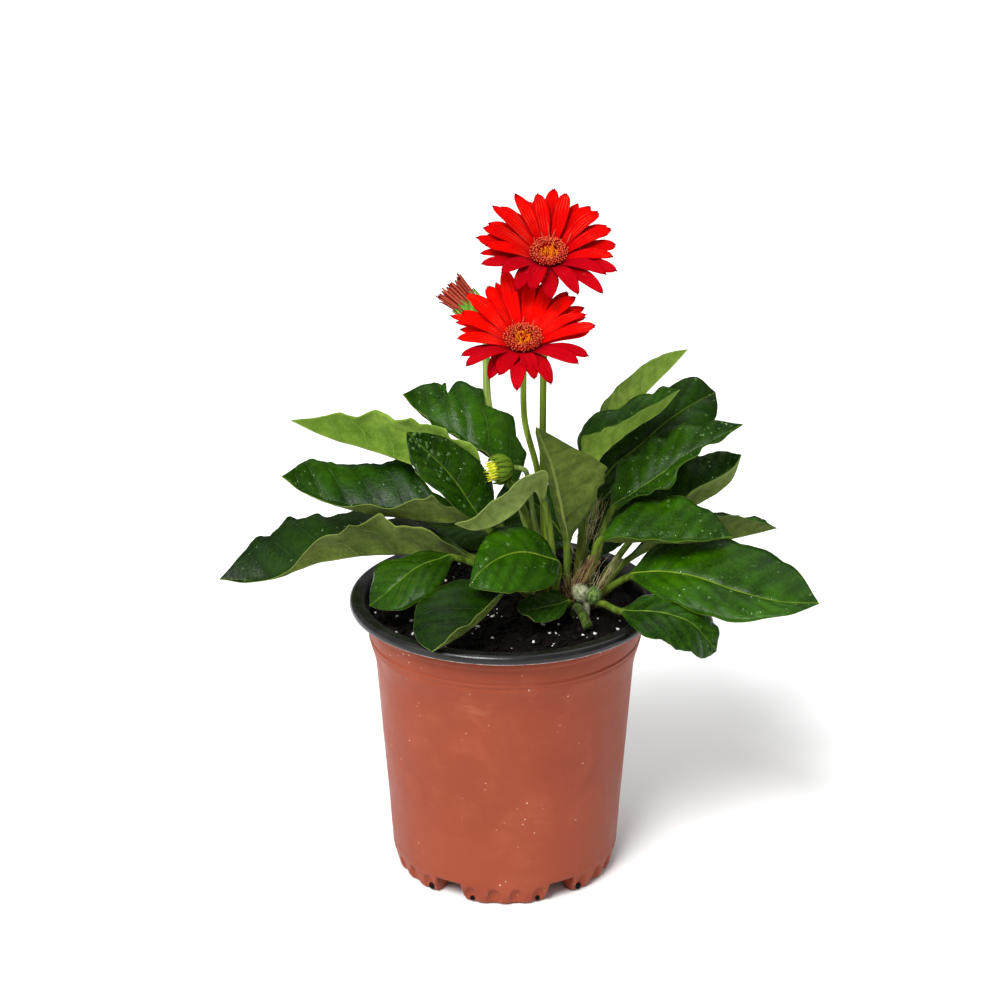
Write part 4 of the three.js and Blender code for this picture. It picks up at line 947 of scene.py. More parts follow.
class GERBERA_OT_leaves(bpy.types.Operator):
    """Makes the rosette: each leaf with its petiole, veins and folds"""
    bl_idname = "gerbera.leaves"
    bl_label = "Leaves"

    def execute(self, context):
        settings = context.scene.gerbera_leaves
        tops = {k: leaf_finish("leaf_top_" + k, *c, roughness=0.3, felt=0.0, relief=-0.7)
                for k, c in LEAF_TOPS.items()}
        unders = {k: leaf_finish("leaf_under_" + k, *c, roughness=0.68, felt=0.06, relief=0.9)
                  for k, c in LEAF_UNDERS.items()}
        water = Body()
        for i, leaf in enumerate(LEAVES):
            body, skin, facing = make_leaf(leaf, settings, 100 + 13 * i)
            slot, tone = ("lime_leaf", "lime") if leaf.get("lime") else ("leaf_green", "grey")
            body.dress(leaf["name"], [tops[leaf.get("tone", "deep")], unders[leaf.get("under", tone)]], slot)
            rng = np.random.default_rng(500 + i)
            count = int(leaf.get("drops", 26) * settings.wetness)
            if count:
                rows = rng.integers(skin.shape[0] // 7, int(skin.shape[0] * 0.95), count)
                columns = rng.integers(1, skin.shape[1] - 1, count)
                radii = 0.32 + 0.8 * rng.random(count) ** 3
                water.add(*drop_domes(skin[rows, columns], facing[rows, columns], radii, i))
        # painted light: the pale green body of the drops on the leaves
        bead = water_finish("leaf_drops", srgb(66, 114, 36), srgb(128, 174, 94))
        water.piece("leaf_drops", [bead], slot="leaf_green")
        return {"FINISHED"}


# ------------------------------------------------------------------ blooms

# rays alternate between two layers, and shorter ones of a third layer fill in behind them:
# how much steeper than the cup each layer rises, in degrees; its height at the root; its width
RAY_RISES = (0, 5.5, -3)
RAY_HEIGHTS = (-0.9, 0.8, -1.5)
RAY_WIDTHS = (1, 1, 0.8)
# half widths along a ray with a blunt and with a sharp tip
RAY_PLACES = [0, 0.2, 0.4, 0.6, 0.78, 0.9, 0.96, 1]
BLUNT_RAY = np.array([0.4, 0.68, 0.9, 1.02, 1.0, 0.82, 0.56, 0.24])
SHARP_RAY = np.array([0.42, 0.76, 1.0, 1.04, 0.86, 0.56, 0.34, 0.06])

GOLDEN_ANGLE = 2.399963
DISC_FLORETS = 330
DISC_STYLES = 34
RECEPTACLE = [(0, -1.9), (9, -1.9), (10.2, -1.2), (10.4, 0.2), (9, 1.1), (0, 1.3)]
DISC_FOOT = [(0, 1.6), (6, 1.6), (8.8, 3.0), (9.3, 4.3), (8.4, 5.0), (6, 4.2), (3, 3.2), (0, 3.0)]
# (height, radius) of a floret's rings, of its length
OPEN_FLORET = [(0, 0.2), (0.66, 0.18), (0.8, 0.26), (0.93, 0.36), (1.0, 0.14)]
SHUT_FLORET = [(0, 0.32), (0.5, 0.42), (0.85, 0.32), (1.0, 0.1)]

BLOOM_CUP = [(0, -10.6), (2, -10.4), (3.6, -8.8), (6.2, -5.6), (7.6, -2.6), (0, -2.3)]
# rings of bracts: how many, half width, seed, turn, and the profile that they follow
BLOOM_BRACTS = [(16, 1.35, 0, 0.0, [(2.4, -10.2), (5.0, -8.2), (7.4, -5.2), (8.9, -2.4)]),
                (14, 1.3, 1, 0.2, [(2.0, -10.8), (3.9, -9.6), (6.2, -7.4), (7.6, -5.2)])]


def ray_blade(degrees, reach, layer, cup, draw, rng):
    """A ray floret's fine grid and its UVs, in the head's frame."""
    rise = math.radians(cup + RAY_RISES[layer] + 4 * (draw() - 0.5))
    angle = math.radians(degrees)
    low = max(0.0, -math.sin(angle))
    droop = 4.5 * (0.7 + 0.6 * draw()) + 4.5 * low ** 2
    twist = 0.16 * (draw() - 0.5)
    out, side = spokes(angle)
    U, X = np.meshgrid(np.linspace(0, 1, 25), np.linspace(1, -1, 13), indexing="ij")
    slender = np.clip(rng.uniform(0.35, 1.0) + 0.5 * low ** 2 - 0.25 * max(0, math.sin(angle)), 0, 1)
    outline = np.interp(U, RAY_PLACES, BLUNT_RAY + slender * (SHARP_RAY - BLUNT_RAY))
    half = RAY_HALF_WIDTH * outline * rng.uniform(0.84, 1.0) * (1 + 0.15 * low ** 2) * RAY_WIDTHS[layer]
    teeth = 1 if slender > 0.6 else rng.choice([2, 2, 3])
    notch = 1.3 * (0.5 - 0.5 * np.cos(2 * np.pi * (teeth * (X + 1) / 2 + 0.5)))
    far = RAY_ROOT_RADIUS + reach * U - U ** 16 * notch + 0.6 * U ** 6
    bow = (1.2 + 1.8 * low) * 4 * U * (1 - U) * rng.uniform(0.6, 1.3)
    z = RAY_HEIGHTS[layer] + reach * U * math.tan(rise) - droop * U * U + bow
    fold = rng.normal(0.9, 0.45)
    trough = fold * outline * X ** 2 * np.sin(np.pi * np.minimum(U * 0.8 + 0.12, 1))
    ribs = 0.17 * np.cos(3 * np.pi * X + 0.4) * np.minimum(U * 4, 1)
    wave = np.sin(2 * np.pi * (U * rng.uniform(0.6, 1.3) + rng.random()))
    swell = 0.6 * wave * U * X * rng.uniform(-1, 1.4)
    roll = rng.normal(0, 0.14) * U * X * half
    tip = rng.normal(0.5, 0.7) * U ** 5
    across = half * X + twist * reach * U * U + rng.normal(0, 0.35) * np.sin(np.pi * U)
    mid = out * far[..., None] + side * across[..., None]
    mid[..., 2] = z + trough + ribs + swell + roll - tip
    return mid, np.stack([X, U], -1)


def quill(degrees, reach, lean, rng):
    """A slim pointed floret that stands up between the disc and the rays."""
    out, side = spokes(math.radians(degrees))
    U, X = np.meshgrid(np.linspace(0, 1, 12), np.linspace(1, -1, 5), indexing="ij")
    half = rng.uniform(0.4, 0.7) * (1 - U ** 2) + 0.06
    curl = rng.normal(0, 1.4) * U ** 2
    far = DISC_RADIUS + 0.2 + reach * math.sin(lean) * U - 0.8 * U ** 2
    mid = out * far[..., None] + side * (half * X + curl)[..., None]
    mid[..., 2] = 1.6 + reach * math.cos(lean) * U + 0.35 * X ** 2 * (1 - U)
    return mid, np.stack([X * 0.35, U * 0.3], -1)


def bloom_rays(bloom, quill_length):
    """Both layers of rays where the solid has them, and slim florets inside them."""
    draw = seeded(bloom["seed"])
    rng = np.random.default_rng(bloom["seed"])
    body = Body()
    matrix = head_matrix(bloom)
    points, faces, uv = spun(RECEPTACLE, 40)
    body.add(placed(points, matrix), faces, 1, Ray=uv)
    table, cup = bloom["rays"], bloom["cup"]
    rays = [ray_blade(*place, i % 2, cup, draw, rng) for i, place in enumerate(table)]
    for (a, reach), (b, other) in zip(table, table[1:] + table[:1]):
        between = a + ((b - a + 180) % 360 - 180) * rng.uniform(0.35, 0.65)
        if math.sin(math.radians(between)) < -0.15:
            continue
        rays.append(ray_blade(between, (reach + other) / 2 - rng.uniform(-0.5, 3), 2, cup, draw, rng))
    for mid, uv in rays:
        points, faces, maps = blade(mid, 0.3, uv)
        rows, columns = mid.shape[:2]
        # painted shade: rays whose tips hang towards the front take the darker near finish
        face = 3 if mid[-1, columns // 2, 1] < -12 else 0
        sides = grid_faces(rows, 2 * columns, wrap=True)
        mark = [1 if f[0] % (2 * columns) < columns - 1 else face for f in sides]
        mark += [1] * (len(faces) - len(mark))
        body.add(placed(points, matrix), faces, mark, Ray=maps)
    for degrees, reach, lean in bloom["quills"]:
        mid, uv = quill(degrees, reach * quill_length, math.radians(lean), rng)
        points, faces, maps = blade(mid, 0.25, uv)
        body.add(placed(points, matrix), faces, 2, Ray=maps)
    return body, rays, matrix


def floret(foot, way, tall, widths, star, turn):
    """(points, faces, row of each side face) of a slim floret; star lobes its mouth."""
    side = unit(np.cross(way, (0.1, 0.9, 0.3)))
    other = np.cross(way, side)
    a = np.arange(6) * np.pi / 3 + turn
    rings = []
    for level, width in widths:
        r = width * (1 + (star * np.cos(3 * a) if level > 0.7 else 0))
        spread = np.outer(r * np.cos(a), side) + np.outer(r * np.sin(a), other)
        rings.append(foot + way * level * tall + spread)
    return *loft(rings), np.arange(len(widths) - 1).repeat(6)


def bloom_disc(bloom):
    """A dome of florets in a spiral: pale lobed mouths round the rim, orange styles in the middle."""
    rng = np.random.default_rng(bloom["seed"] + 90)
    body = Body()
    matrix = head_matrix(bloom)
    points, faces, uv = spun(DISC_FOOT, 40)
    body.add(placed(points, matrix), faces, 0, Stem=uv)
    for i in range(DISC_FLORETS):
        radius = (DISC_RADIUS - 0.7) * math.sqrt((i + 0.5) / DISC_FLORETS)
        out, side = spokes(i * GOLDEN_ANGLE)
        open_ = radius > 5.0
        high = 2.4 + 1.6 * smooth((radius - 3) / 5) - 0.9 * smooth((radius - 8.6) / 1.4)
        lean = 0.5 * radius / DISC_RADIUS + 0.35 * smooth((radius - 8) / 2) + rng.normal(0, 0.1)
        way = unit(out * lean + side * rng.normal(0, 0.1) + (0, 0, 1))
        tall = rng.uniform(2.5, 3.5) if open_ else rng.uniform(1.4, 2.2) + 0.1 * radius
        widths = OPEN_FLORET if open_ else SHUT_FLORET
        foot = out * radius * 0.93 + (0, 0, high)
        points, faces, bands = floret(foot, way, tall, widths, 0.45 if open_ else 0, rng.uniform(0, 6.28))
        tipped = 1 if open_ else 2 if rng.random() < 0.5 else 0
        mark = [tipped if b >= len(widths) - 3 else 0 for b in bands] + [tipped] * (len(faces) - len(bands))
        body.add(placed(points, matrix), faces, mark)
    for _ in range(DISC_STYLES):
        out = spokes(rng.uniform(0, 6.28))[0]
        foot = out * rng.uniform(0.8, 5.4) + (0, 0, 3.2)
        way = unit((rng.normal(0, 0.4), rng.normal(0, 0.4), 1))
        long_ = rng.uniform(2.6, 4.6)
        tip = foot + way * long_ + rng.normal(0, 0.5, 3)
        points, faces, _ = tube([foot, foot + way * long_ * 0.55, tip], 0.26, 0.16, 6, 5)
        body.add(placed(points, matrix), faces, 2)
    return body


def bract_rings(body, matrix, table, mark, seed=0):
    """Adds rings of pointed bracts; a profile is (radius, height) from foot to tip."""
    u = np.linspace(0, 1, 9)
    U, X = np.meshgrid(u, np.linspace(1, -1, 7), indexing="ij")
    shape = np.interp(U, [0, 0.3, 0.65, 0.9, 1], [0.75, 1, 0.8, 0.38, 0.15])
    for count, width, step, turn, profile in table:
        rng = np.random.default_rng(seed + step)
        run = rail([(r, 0, z) for r, z in profile])
        for i in range(count):
            out, side = spokes(2 * math.pi * (i + rng.uniform(-0.15, 0.15)) / count + turn)
            path = run(u * rng.uniform(0.93, 1.0))
            radius = path[:, :1] + 0.3 * (1 - X ** 2) * shape + rng.uniform(-0.15, 0.15)
            mid = out * radius[..., None] + side * (width * shape * X)[..., None]
            mid[..., 2] = path[:, 2:]
            points, faces, uv = blade(mid, 0.5, np.stack([X, U], -1))
            body.add(placed(points, matrix), faces, mark, Stem=uv, Ray=uv)


def stem_body(part, under_depths, seed):
    """A scape from its foot in the mix to its head, with down."""
    matrix = head_matrix(part)
    x, y = root_place(part["root"])
    under = [placed([(0, 0, -d)], matrix)[0] for d in under_depths]
    line = [(x, y, SOIL_Z - ROOT_DEPTH + 1), (x, y, SOIL_Z + 3), *part["scape"], *under]
    body = Body()
    points, faces, uv = tube(line, part["radius"], part["radius"] * 0.95, 64, 16, ribs=0.035, seed=seed)
    body.add(points, faces, 0, Stem=uv)
    curve = rail(line)
    rng = np.random.default_rng(seed)
    t = rng.uniform(0.12, 0.97, 620)
    centre, way = curve(t), tangents(curve, t)
    out = unit(np.cross(way, rng.normal(size=way.shape)))
    hair, hair_faces = hairs(centre + out * (part["radius"] * 0.97), out, 1.0, 0.045, seed)
    body.add(hair, hair_faces, 0, Stem=np.repeat(np.stack([t * 0 + 0.5, t], -1), 4, axis=0))
    return body, matrix


def ray_drops(rays, matrix, rng):
    """Yields the (points, faces) of two water drops on each of the rays."""
    for mid in rays:
        rows, columns = rng.integers(3, 14, 2), rng.integers(2, 9, 2)
        where = placed(mid[rows, columns], matrix)
        normals = grid_normals(mid)[rows, columns] @ matrix[0].T
        normals = normals * np.sign(normals @ matrix[0][:, 2])[:, None]
        yield drop_domes(where + normals * 0.2, normals, 0.25 + 0.25 * rng.random(2), 3)


class BloomSettings(bpy.types.PropertyGroup):
    quill_length: bpy.props.FloatProperty(
        name="Quill length", description="Length of the slim florets round the disc, of the tables",
        default=1.0)
    ray_colour: bpy.props.FloatVectorProperty(
        name="Ray colour", description="Colour of the rays' faces", subtype="COLOR", size=3,
        default=srgb(202, 8, 2)[:3])


class GERBERA_OT_blooms(bpy.types.Operator):
    """Makes the two open blooms: rays, disc florets, cup of bracts and scape"""
    bl_idname = "gerbera.blooms"
    bl_label = "Blooms"

    def execute(self, context):
        settings = context.scene.gerbera_blooms
        red = (*settings.ray_colour, 1.0)
        # painted light: a brighter copy of the red for the lower bloom, which the upper bloom shades
        lit_red = tuple(min(c * 1.35, 1) for c in red)
        face, bright, near = (
            ray_finish(name, root, body, edge, tip, 0.4, streak_highlight) for name, root, body, edge, tip, streak_highlight in (
                # each row ends with the colour of the streaks, a painted highlight
                ("ray_face", srgb(176, 4, 5), red, srgb(142, 2, 14), srgb(104, 0, 18), srgb(226, 92, 66)),
                # painted light: the lower bloom's brighter copy
                ("ray_face_lower_lit", srgb(196, 6, 6), lit_red, srgb(166, 2, 14), srgb(108, 0, 18),
                 srgb(240, 96, 70)),
                # painted shade: a darker copy for the rays that hang towards the front
                ("ray_face_near_shaded", srgb(112, 0, 12), srgb(168, 5, 16), srgb(124, 0, 14), srgb(96, 0, 16),
                 srgb(186, 40, 44))))
        back = ray_finish("ray_back", srgb(140, 24, 26), srgb(150, 18, 26), srgb(120, 6, 20), srgb(96, 2, 20))
        slim = ray_finish("slim_florets", srgb(190, 50, 34), srgb(228, 106, 78), srgb(186, 30, 22),
                          srgb(236, 150, 116))
        dark = plain_finish("disc_foot", srgb(116, 4, 0), srgb(178, 16, 4), 420, 0.6, specular_ior_level=0.05)
        pale = plain_finish("disc_floret_ends", srgb(204, 52, 32), srgb(238, 120, 78), 520, 0.55,
                            specular_ior_level=0.1)
        gold = plain_finish("disc_styles", srgb(214, 86, 4), srgb(250, 166, 30), 420, 0.5,
                            specular_ior_level=0.1)
        green = stalk_finish("scape_skin", srgb(118, 142, 36), srgb(84, 108, 10), srgb(100, 84, 36))
        water = Body()
        for bloom in BLOOMS:
            name, seed = bloom["name"], bloom["seed"]
            body, rays, matrix = bloom_rays(bloom, settings.quill_length)
            # the lower bloom takes the brighter copy: painted light
            front = bright if name == "lower_bloom" else face
            body.dress(name + "_rays", [front, back, slim, near], "petal_red")
            bloom_disc(bloom).dress(name + "_disc", [dark, pale, gold], "disc_gold")
            stalk, matrix = stem_body(bloom, (22, 9), seed)
            cup, cup_faces, cup_uv = spun(BLOOM_CUP, 32)
            stalk.add(placed(cup, matrix), cup_faces, 0, Stem=cup_uv + (0, 0.4))
            bract_rings(stalk, matrix, BLOOM_BRACTS, 0, seed)
            stalk.dress(name + "_scape", [green], "scape_green")
            wet = [mid for mid, _ in rays[:len(bloom["rays"]):2]]
            for domes in ray_drops(wet, matrix, np.random.default_rng(seed + 5)):
                water.add(*domes)
        # painted light: the pale pink body of the drops on the rays
        bead = water_finish("petal_drops", srgb(240, 120, 100), srgb(255, 190, 176))
        water.piece("bloom_drops", [bead], slot="petal_red")
        return {"FINISHED"}


# ------------------------------------------------------------------ buds

HALF_OPEN_CORE = [(0, -0.2), (5.4, 0), (6.4, 7), (6.8, 12), (5.8, 12.6), (0, 12)]
HALF_OPEN_CUP = [(0, -7.4), (2.4, -7.2), (5.9, -4.6), (7.6, 0.2), (7.2, 0.6), (0, -0.35)]
# rings of closed rays: how many, half width, shortest and longest, seed, turn, material and profile
HALF_OPEN_RAYS = [(27, 0.85, (0.8, 1.06), 5, 0.0, 0, [(6.0, 0), (7.4, 7), (8.6, 15), (9.0, 18.6)]),
                  (22, 0.9, (0.8, 1.04), 6, 0.17, 1, [(5.0, 0), (6.6, 7), (7.4, 14), (7.4, 17.6)]),
                  (14, 0.9, (0.8, 1.0), 7, 0.4, 1, [(3.6, 0), (5.0, 7), (5.4, 13), (5.0, 16.5)])]
HALF_OPEN_BRACTS = [(16, 1.15, 4, 0.0, [(3.4, -6.6), (6.6, -3.8), (8.4, 0.6), (9.0, 6.4)]),
                    (16, 1.15, 8, 0.2, [(2.6, -7.2), (5.6, -5.2), (8.2, -1.2), (8.9, 3.4)]),
                    (12, 1.1, 9, 0.35, [(2.0, -7.6), (4.2, -6.6), (6.8, -3.8), (8.2, -0.4)])]
YOUNG_CORE = [(0, 1.4), (4.6, 1.5), (5.2, 3.8), (3.4, 5.2), (0, 5.3)]
YOUNG_CUP = [(0, -7.3), (2.7, -6.9), (6.6, -3.8), (7.7, 0.4), (6.4, 1.2), (0, 1)]
# rings of ray tips: how many, radius and height
YOUNG_TIPS = [(20, 5.2, 7.8), (14, 3.7, 7.2), (9, 2.2, 6.6), (4, 0.9, 6.0)]
YOUNG_BRACTS = [(19, 1.25, 21, 0.0, [(3.2, -6.6), (7.0, -3.6), (8.2, 0.8), (7.2, 5.6)]),
                (16, 1.3, 22, 0.25, [(2.6, -7.2), (6.6, -4.6), (8.6, -0.6), (8.5, 3.0)]),
                (12, 1.3, 23, 0.1, [(1.8, -7.7), (5.2, -6.2), (7.9, -3.2), (8.7, -0.2)])]


def bud_rays(body, matrix, table):
    """Adds closed rays side by side, each folded along its back, with a few loose tips."""
    u = np.linspace(0, 1, 14)
    U, X = np.meshgrid(u, np.linspace(1, -1, 7), indexing="ij")
    shape = np.interp(U, [0, 0.3, 0.7, 0.9, 1], [0.75, 0.95, 1, 0.6, 0.12])
    for count, width, lengths, seed, turn, mark, profile in table:
        rng = np.random.default_rng(seed)
        run = rail([(r, 0, z) for r, z in profile])
        for i in range(count):
            out, side = spokes(2 * math.pi * (i + rng.uniform(-0.16, 0.16)) / count + turn)
            path = run(u)
            path[:, 2] *= rng.uniform(*lengths)
            path[:, 0] += rng.normal(0.1, 0.4) * u ** 3 + (1.6 * u ** 6 if rng.random() < 0.2 else 0)
            sway = rng.normal(0, 0.35) * U ** 2
            radius = path[:, :1] + 0.6 * (1 - np.abs(X)) * shape
            mid = out * radius[..., None] + side * (width * shape * X + sway)[..., None]
            mid[..., 2] = path[:, 2:]
            points, faces, uv = blade(mid, 0.4, np.stack([X, U], -1))
            body.add(placed(points, matrix), faces, mark, Ray=uv)


class GERBERA_OT_half_open_bud(bpy.types.Operator):
    """Makes the half-open bud: closed rays in their cup of bracts, on its scape"""
    bl_idname = "gerbera.half_open_bud"
    bl_label = "Half-open bud"

    def execute(self, context):
        salmon = ray_finish("bud_ray_backs", srgb(196, 132, 76), srgb(184, 84, 64), srgb(84, 8, 6),
                            srgb(100, 14, 12), 0.15, rim=0.3)
        crimson = ray_finish("bud_ray_hearts", srgb(150, 60, 40), srgb(140, 36, 26), srgb(84, 8, 10),
                             srgb(90, 14, 14))
        green = stalk_finish("bud_scape_skin", srgb(146, 168, 84), srgb(110, 138, 54), srgb(124, 110, 56))
        bracts = stalk_finish("bud_bracts", srgb(118, 168, 56), srgb(78, 124, 30), srgb(132, 150, 70))
        matrix = head_matrix(HALF_OPEN_BUD)
        rays = Body()
        core, faces, uv = spun(HALF_OPEN_CORE, 30)
        rays.add(placed(core, matrix), faces, 1, Ray=uv * (2, 0.8) - (1, 0))
        bud_rays(rays, matrix, HALF_OPEN_RAYS)
        rays.dress("half_open_bud_rays", [salmon, crimson], "bud_salmon")
        stalk, matrix = stem_body(HALF_OPEN_BUD, (12, 4), 41)
        cup, faces, uv = spun(HALF_OPEN_CUP, 30)
        stalk.add(placed(cup, matrix), faces, 1, Stem=uv + (0, 0.4))
        bract_rings(stalk, matrix, HALF_OPEN_BRACTS, 1)
        stalk.dress("half_open_bud_scape", [green, bracts], "scape_green")
        return {"FINISHED"}


class GERBERA_OT_young_bud(bpy.types.Operator):
    """Makes the young bud: yellow ray tips in overlapping bracts, on a hooked scape"""
    bl_idname = "gerbera.young_bud"
    bl_label = "Young bud"

    def execute(self, context):
        yellow = plain_finish("young_ray_tips", srgb(170, 184, 20), srgb(232, 226, 62), 400, 0.5,
                              specular_ior_level=0.1)
        green = stalk_finish("young_scape_skin", srgb(128, 150, 74), srgb(98, 122, 50), srgb(124, 110, 56))
        bracts = ray_finish("young_bracts", srgb(84, 112, 26), srgb(104, 134, 38), srgb(58, 84, 18),
                            srgb(150, 166, 76), 0.3)
        matrix = head_matrix(YOUNG_BUD)
        tips = Body()
        core, faces, _ = spun(YOUNG_CORE, 24)
        tips.add(placed(core, matrix), faces, 0)
        rng = np.random.default_rng(12)
        for count, radius, tall in YOUNG_TIPS:
            for i in range(count):
                out = spokes(2 * math.pi * (i + rng.uniform(-0.2, 0.2)) / count)[0]
                foot = out * radius + (0, 0, 2.2)
                top = foot * (1.02, 1.02, 0) + (0, 0, tall + rng.normal(0, 0.5))
                middle = (foot + top) / 2 + rng.normal(0, 0.1, 3)
                points, faces, _ = tube([foot, middle, top], 0.62, 0.12, 6, 7)
                tips.add(placed(points, matrix), faces, 0)
        tips.dress("young_bud_tips", [yellow], "bud_yellow")
        stalk, matrix = stem_body(YOUNG_BUD, (5,), 43)
        cup, faces, uv = spun(YOUNG_CUP, 30)
        stalk.add(placed(cup, matrix), faces, 1, Stem=uv, Ray=uv)
        bract_rings(stalk, matrix, YOUNG_BRACTS, 1)
        stalk.dress("young_bud_scape", [green, bracts], "scape_green")
        return {"FINISHED"}


# ------------------------------------------------------------------ crown

CROWN_BALL = [(2.2, -3.6), (3.5, -1.4), (3.6, 1.4), (2.4, 3.8)]
CROWN_BRACTS = [(9, 1.0, 60, 0.0, [(1.8, -3.6), (3.7, -1.0), (3.8, 1.6), (1.8, 5.0)])]
# how far each of the two buds leans, and how long its wool is
CROWN_LEANS = (-0.5, 0.45)
WOOL_LENGTHS = (2.3, 1.9)
WOOL_HAIRS = 1500


class GERBERA_OT_crown(bpy.types.Operator):
    """Makes the old cut stalk, the two woolly buds and the dry fibres in the heart of the rosette"""
    bl_idname = "gerbera.crown"
    bl_label = "Crown"

    def execute(self, context):
        self.old_stalk()
        self.buds()
        self.fibres()
        return {"FINISHED"}

    def old_stalk(self):
        old = stalk_finish("old_stalk_skin", srgb(70, 92, 22), srgb(34, 48, 8), srgb(60, 66, 22), bruise=0.72)
        stump = Body()
        radius = OLD_STALK["radius"]
        points, faces, uv = tube(OLD_STALK["points"], radius * 0.8, radius, 30, 18, 0.05, bend=0.05, seed=9)
        stump.add(points, faces, 0, Stem=uv)
        stump.dress("old_stalk", [old], "scape_green")

    def buds(self):
        wool = plain_finish("woolly_bracts", srgb(112, 124, 74), srgb(196, 198, 160), 420, 0.8,
                            sheen_weight=0.3)
        fresh = plain_finish("green_wool", srgb(58, 92, 26), srgb(124, 152, 70), 420, 0.8, sheen_weight=0.1)
        buds = Body()
        points, faces, _ = tube(CROWN_BUDS["stalk"], CROWN_BUDS["radius"], CROWN_BUDS["radius"] * 1.5, 14, 14)
        buds.add(points, faces, 0)
        for n, (centre, lean) in enumerate(zip(CROWN_BUDS["buds"], CROWN_LEANS)):
            matrix = (np.array(Matrix.Rotation(lean, 3, "Y")), np.array(centre, float))
            ball, faces, _ = spun([(0, -CROWN_BUDS["size"]), *CROWN_BALL, (0, 4.8)], 20)
            buds.add(placed(ball, matrix), faces, n)
            bract_rings(buds, matrix, CROWN_BRACTS, n, seed=n)
            way = unit(np.random.default_rng(70 + n).normal(size=(WOOL_HAIRS, 3)))
            where = placed(way * (3.5, 3.5, 4.4), matrix)
            hair, hair_faces = hairs(where, way @ matrix[0].T + (0, 0, 0.3), WOOL_LENGTHS[n], 0.07, 80 + n)
            buds.add(hair, hair_faces, n)
        buds.dress("crown_buds", [wool, fresh], "lime_leaf")

    def fibres(self):
        straw = plain_finish("dry_fibres", srgb(120, 104, 66), srgb(196, 184, 140), 300, 0.7)
        husk = plain_finish("petiole_husks", srgb(74, 30, 20), srgb(128, 112, 56), 160, 0.7)
        rng = np.random.default_rng(77)
        fibres = Body()
        for foot, top, count, spread, thick, mark in FIBRES:
            for _ in range(count):
                a = np.array(foot) + rng.normal(0, spread, 3)
                b = a + (np.array(top) - foot) * rng.uniform(0.3, 0.9) + rng.normal(0, spread, 3)
                bow = (a + b) / 2 + rng.normal(0, spread * 0.6, 3)
                points, faces, _ = tube([a, bow, b], thick, thick * 0.4, 9, 5)
                fibres.add(points, faces, mark)
        fibres.piece("dry_fibres", [straw, husk], slot="lime_leaf")


# ------------------------------------------------------------------ pot

FOOT_COUNT = 6
FOOT_SPAN = math.radians(45)
FRONT = math.radians(-90)
SKIN_THICKNESS = 0.8
LINING_THICKNESS = 0.9
LINING_GAP = 1.2
# the flutes in each half of a foot: their middles and half widths, of half the foot, and their depth
FLUTE_PLACES = (0.25, 0.78)
FLUTE_HALF = 0.16
FLUTE_DEPTH = 2.4
# heights of the rings of the feet and of the wall, closer together at the soles and round the collar
FOOT_LEVELS = [0.0, 0.3, 0.9, 1.8, 3.2, 4.6, 6, 7.2, 8.4, 9.6, 10.8, 11.8, 12.6, 14]
WALL_LEVELS = [16, 19, 23, 30, 40, 55, 70, 85, 100, 112, 122, 126, 129, 131.5, 133, 134.5, 137, 140, 142, 143,
               143.6, 144.2, 144.8, 145.3, 145.8, 146.3, 146.8, 147.3, 147.8, 148.4, 149.5, 152, 154.4, 155.2,
               156, 156.8, 157.4, 158, 158.6, 159.4, 161, 163]
# lines drawn round the collar: height, rise and half width
COLLAR_LINES = [(158, 0.3, 1.2), (156, -0.2, 0.8), (147.3, -0.5, 0.8), (145.8, 0.45, 0.8),
                (144.2, -0.35, 0.8), (133, 0.2, 2)]
LIP = [(82, 165.2), (85, 164.9), (87.6, 164.0), (88.8, 163.9), (89.7, 164.6), (LIP_RADIUS, 165.8),
       (89.9, 167.2), (89.2, 168.5), (88.2, 169.1), (87.0, RIM_Z), (85.6, 169.1), (84.6, 169.15),
       (83.4, 169.25), (82.2, 168.9), (81.2, 168.1), (80.6, 167)]


def foot_place(angle, z):
    """For each angle at height z: its place along a foot, from -1 to 1, and how fully it is on that foot."""
    turn = (angle - FRONT + math.pi / FOOT_COUNT) % (2 * math.pi / FOOT_COUNT) - math.pi / FOOT_COUNT
    place = turn / (FOOT_SPAN / 2)
    edge = 0.985 - 0.05 * max(1 - z / ARCH_HEIGHT, 0) ** 2.5
    return place, 1 - smooth((np.abs(place) - edge) / 0.05)


def wall_radius(z):
    return float(np.interp(z, *zip(*POT_WALL)))


def skin_radius(z):
    """Outer radius of the skin: the wall with its bends eased, and the lines round the collar."""
    soft = sum(wall_radius(z + d) for d in (-1.6, -0.8, 0, 0.8, 1.6)) / 5
    lines = sum(rise * math.exp(-((z - at) / wide) ** 2) for at, rise, wide in COLLAR_LINES)
    return soft + lines + 0.03 * math.sin(z * 0.9)


def shape_foot(r, z, angle, k):
    """Presses two rounded flutes into each foot, and lifts the sole to an arch between the feet."""
    place, on = foot_place(angle, z[0])
    lifts = z[0] < ARCH_HEIGHT and FOOT_INNER_RADIUS - 0.5 < r[0] < 70
    if FOOT_INNER_RADIUS + 1.7 < r[0] < 69 and z[0] < 20:
        u = (np.abs(place) - np.where(np.abs(place) < 0.515, *FLUTE_PLACES)) / FLUTE_HALF
        dome = np.sqrt(np.clip(1 - u * u, 0, 1))
        hollow = dome * smooth((4 + 8 * dome - z[0]) / 2.5) * (0.45 + 0.55 * smooth(z[0] / 5))
        r = r - FLUTE_DEPTH * hollow - 0.6 * smooth((17.5 - z[0]) / 9) * (1 - on)
        r = r - 1.8 * smooth((np.abs(place) - 0.84) / 0.15) * on * smooth((9 - z[0]) / 9)
    if lifts:
        z = z + (ARCH_HEIGHT - 0.15 - z) * (1 - on)
    return r, z


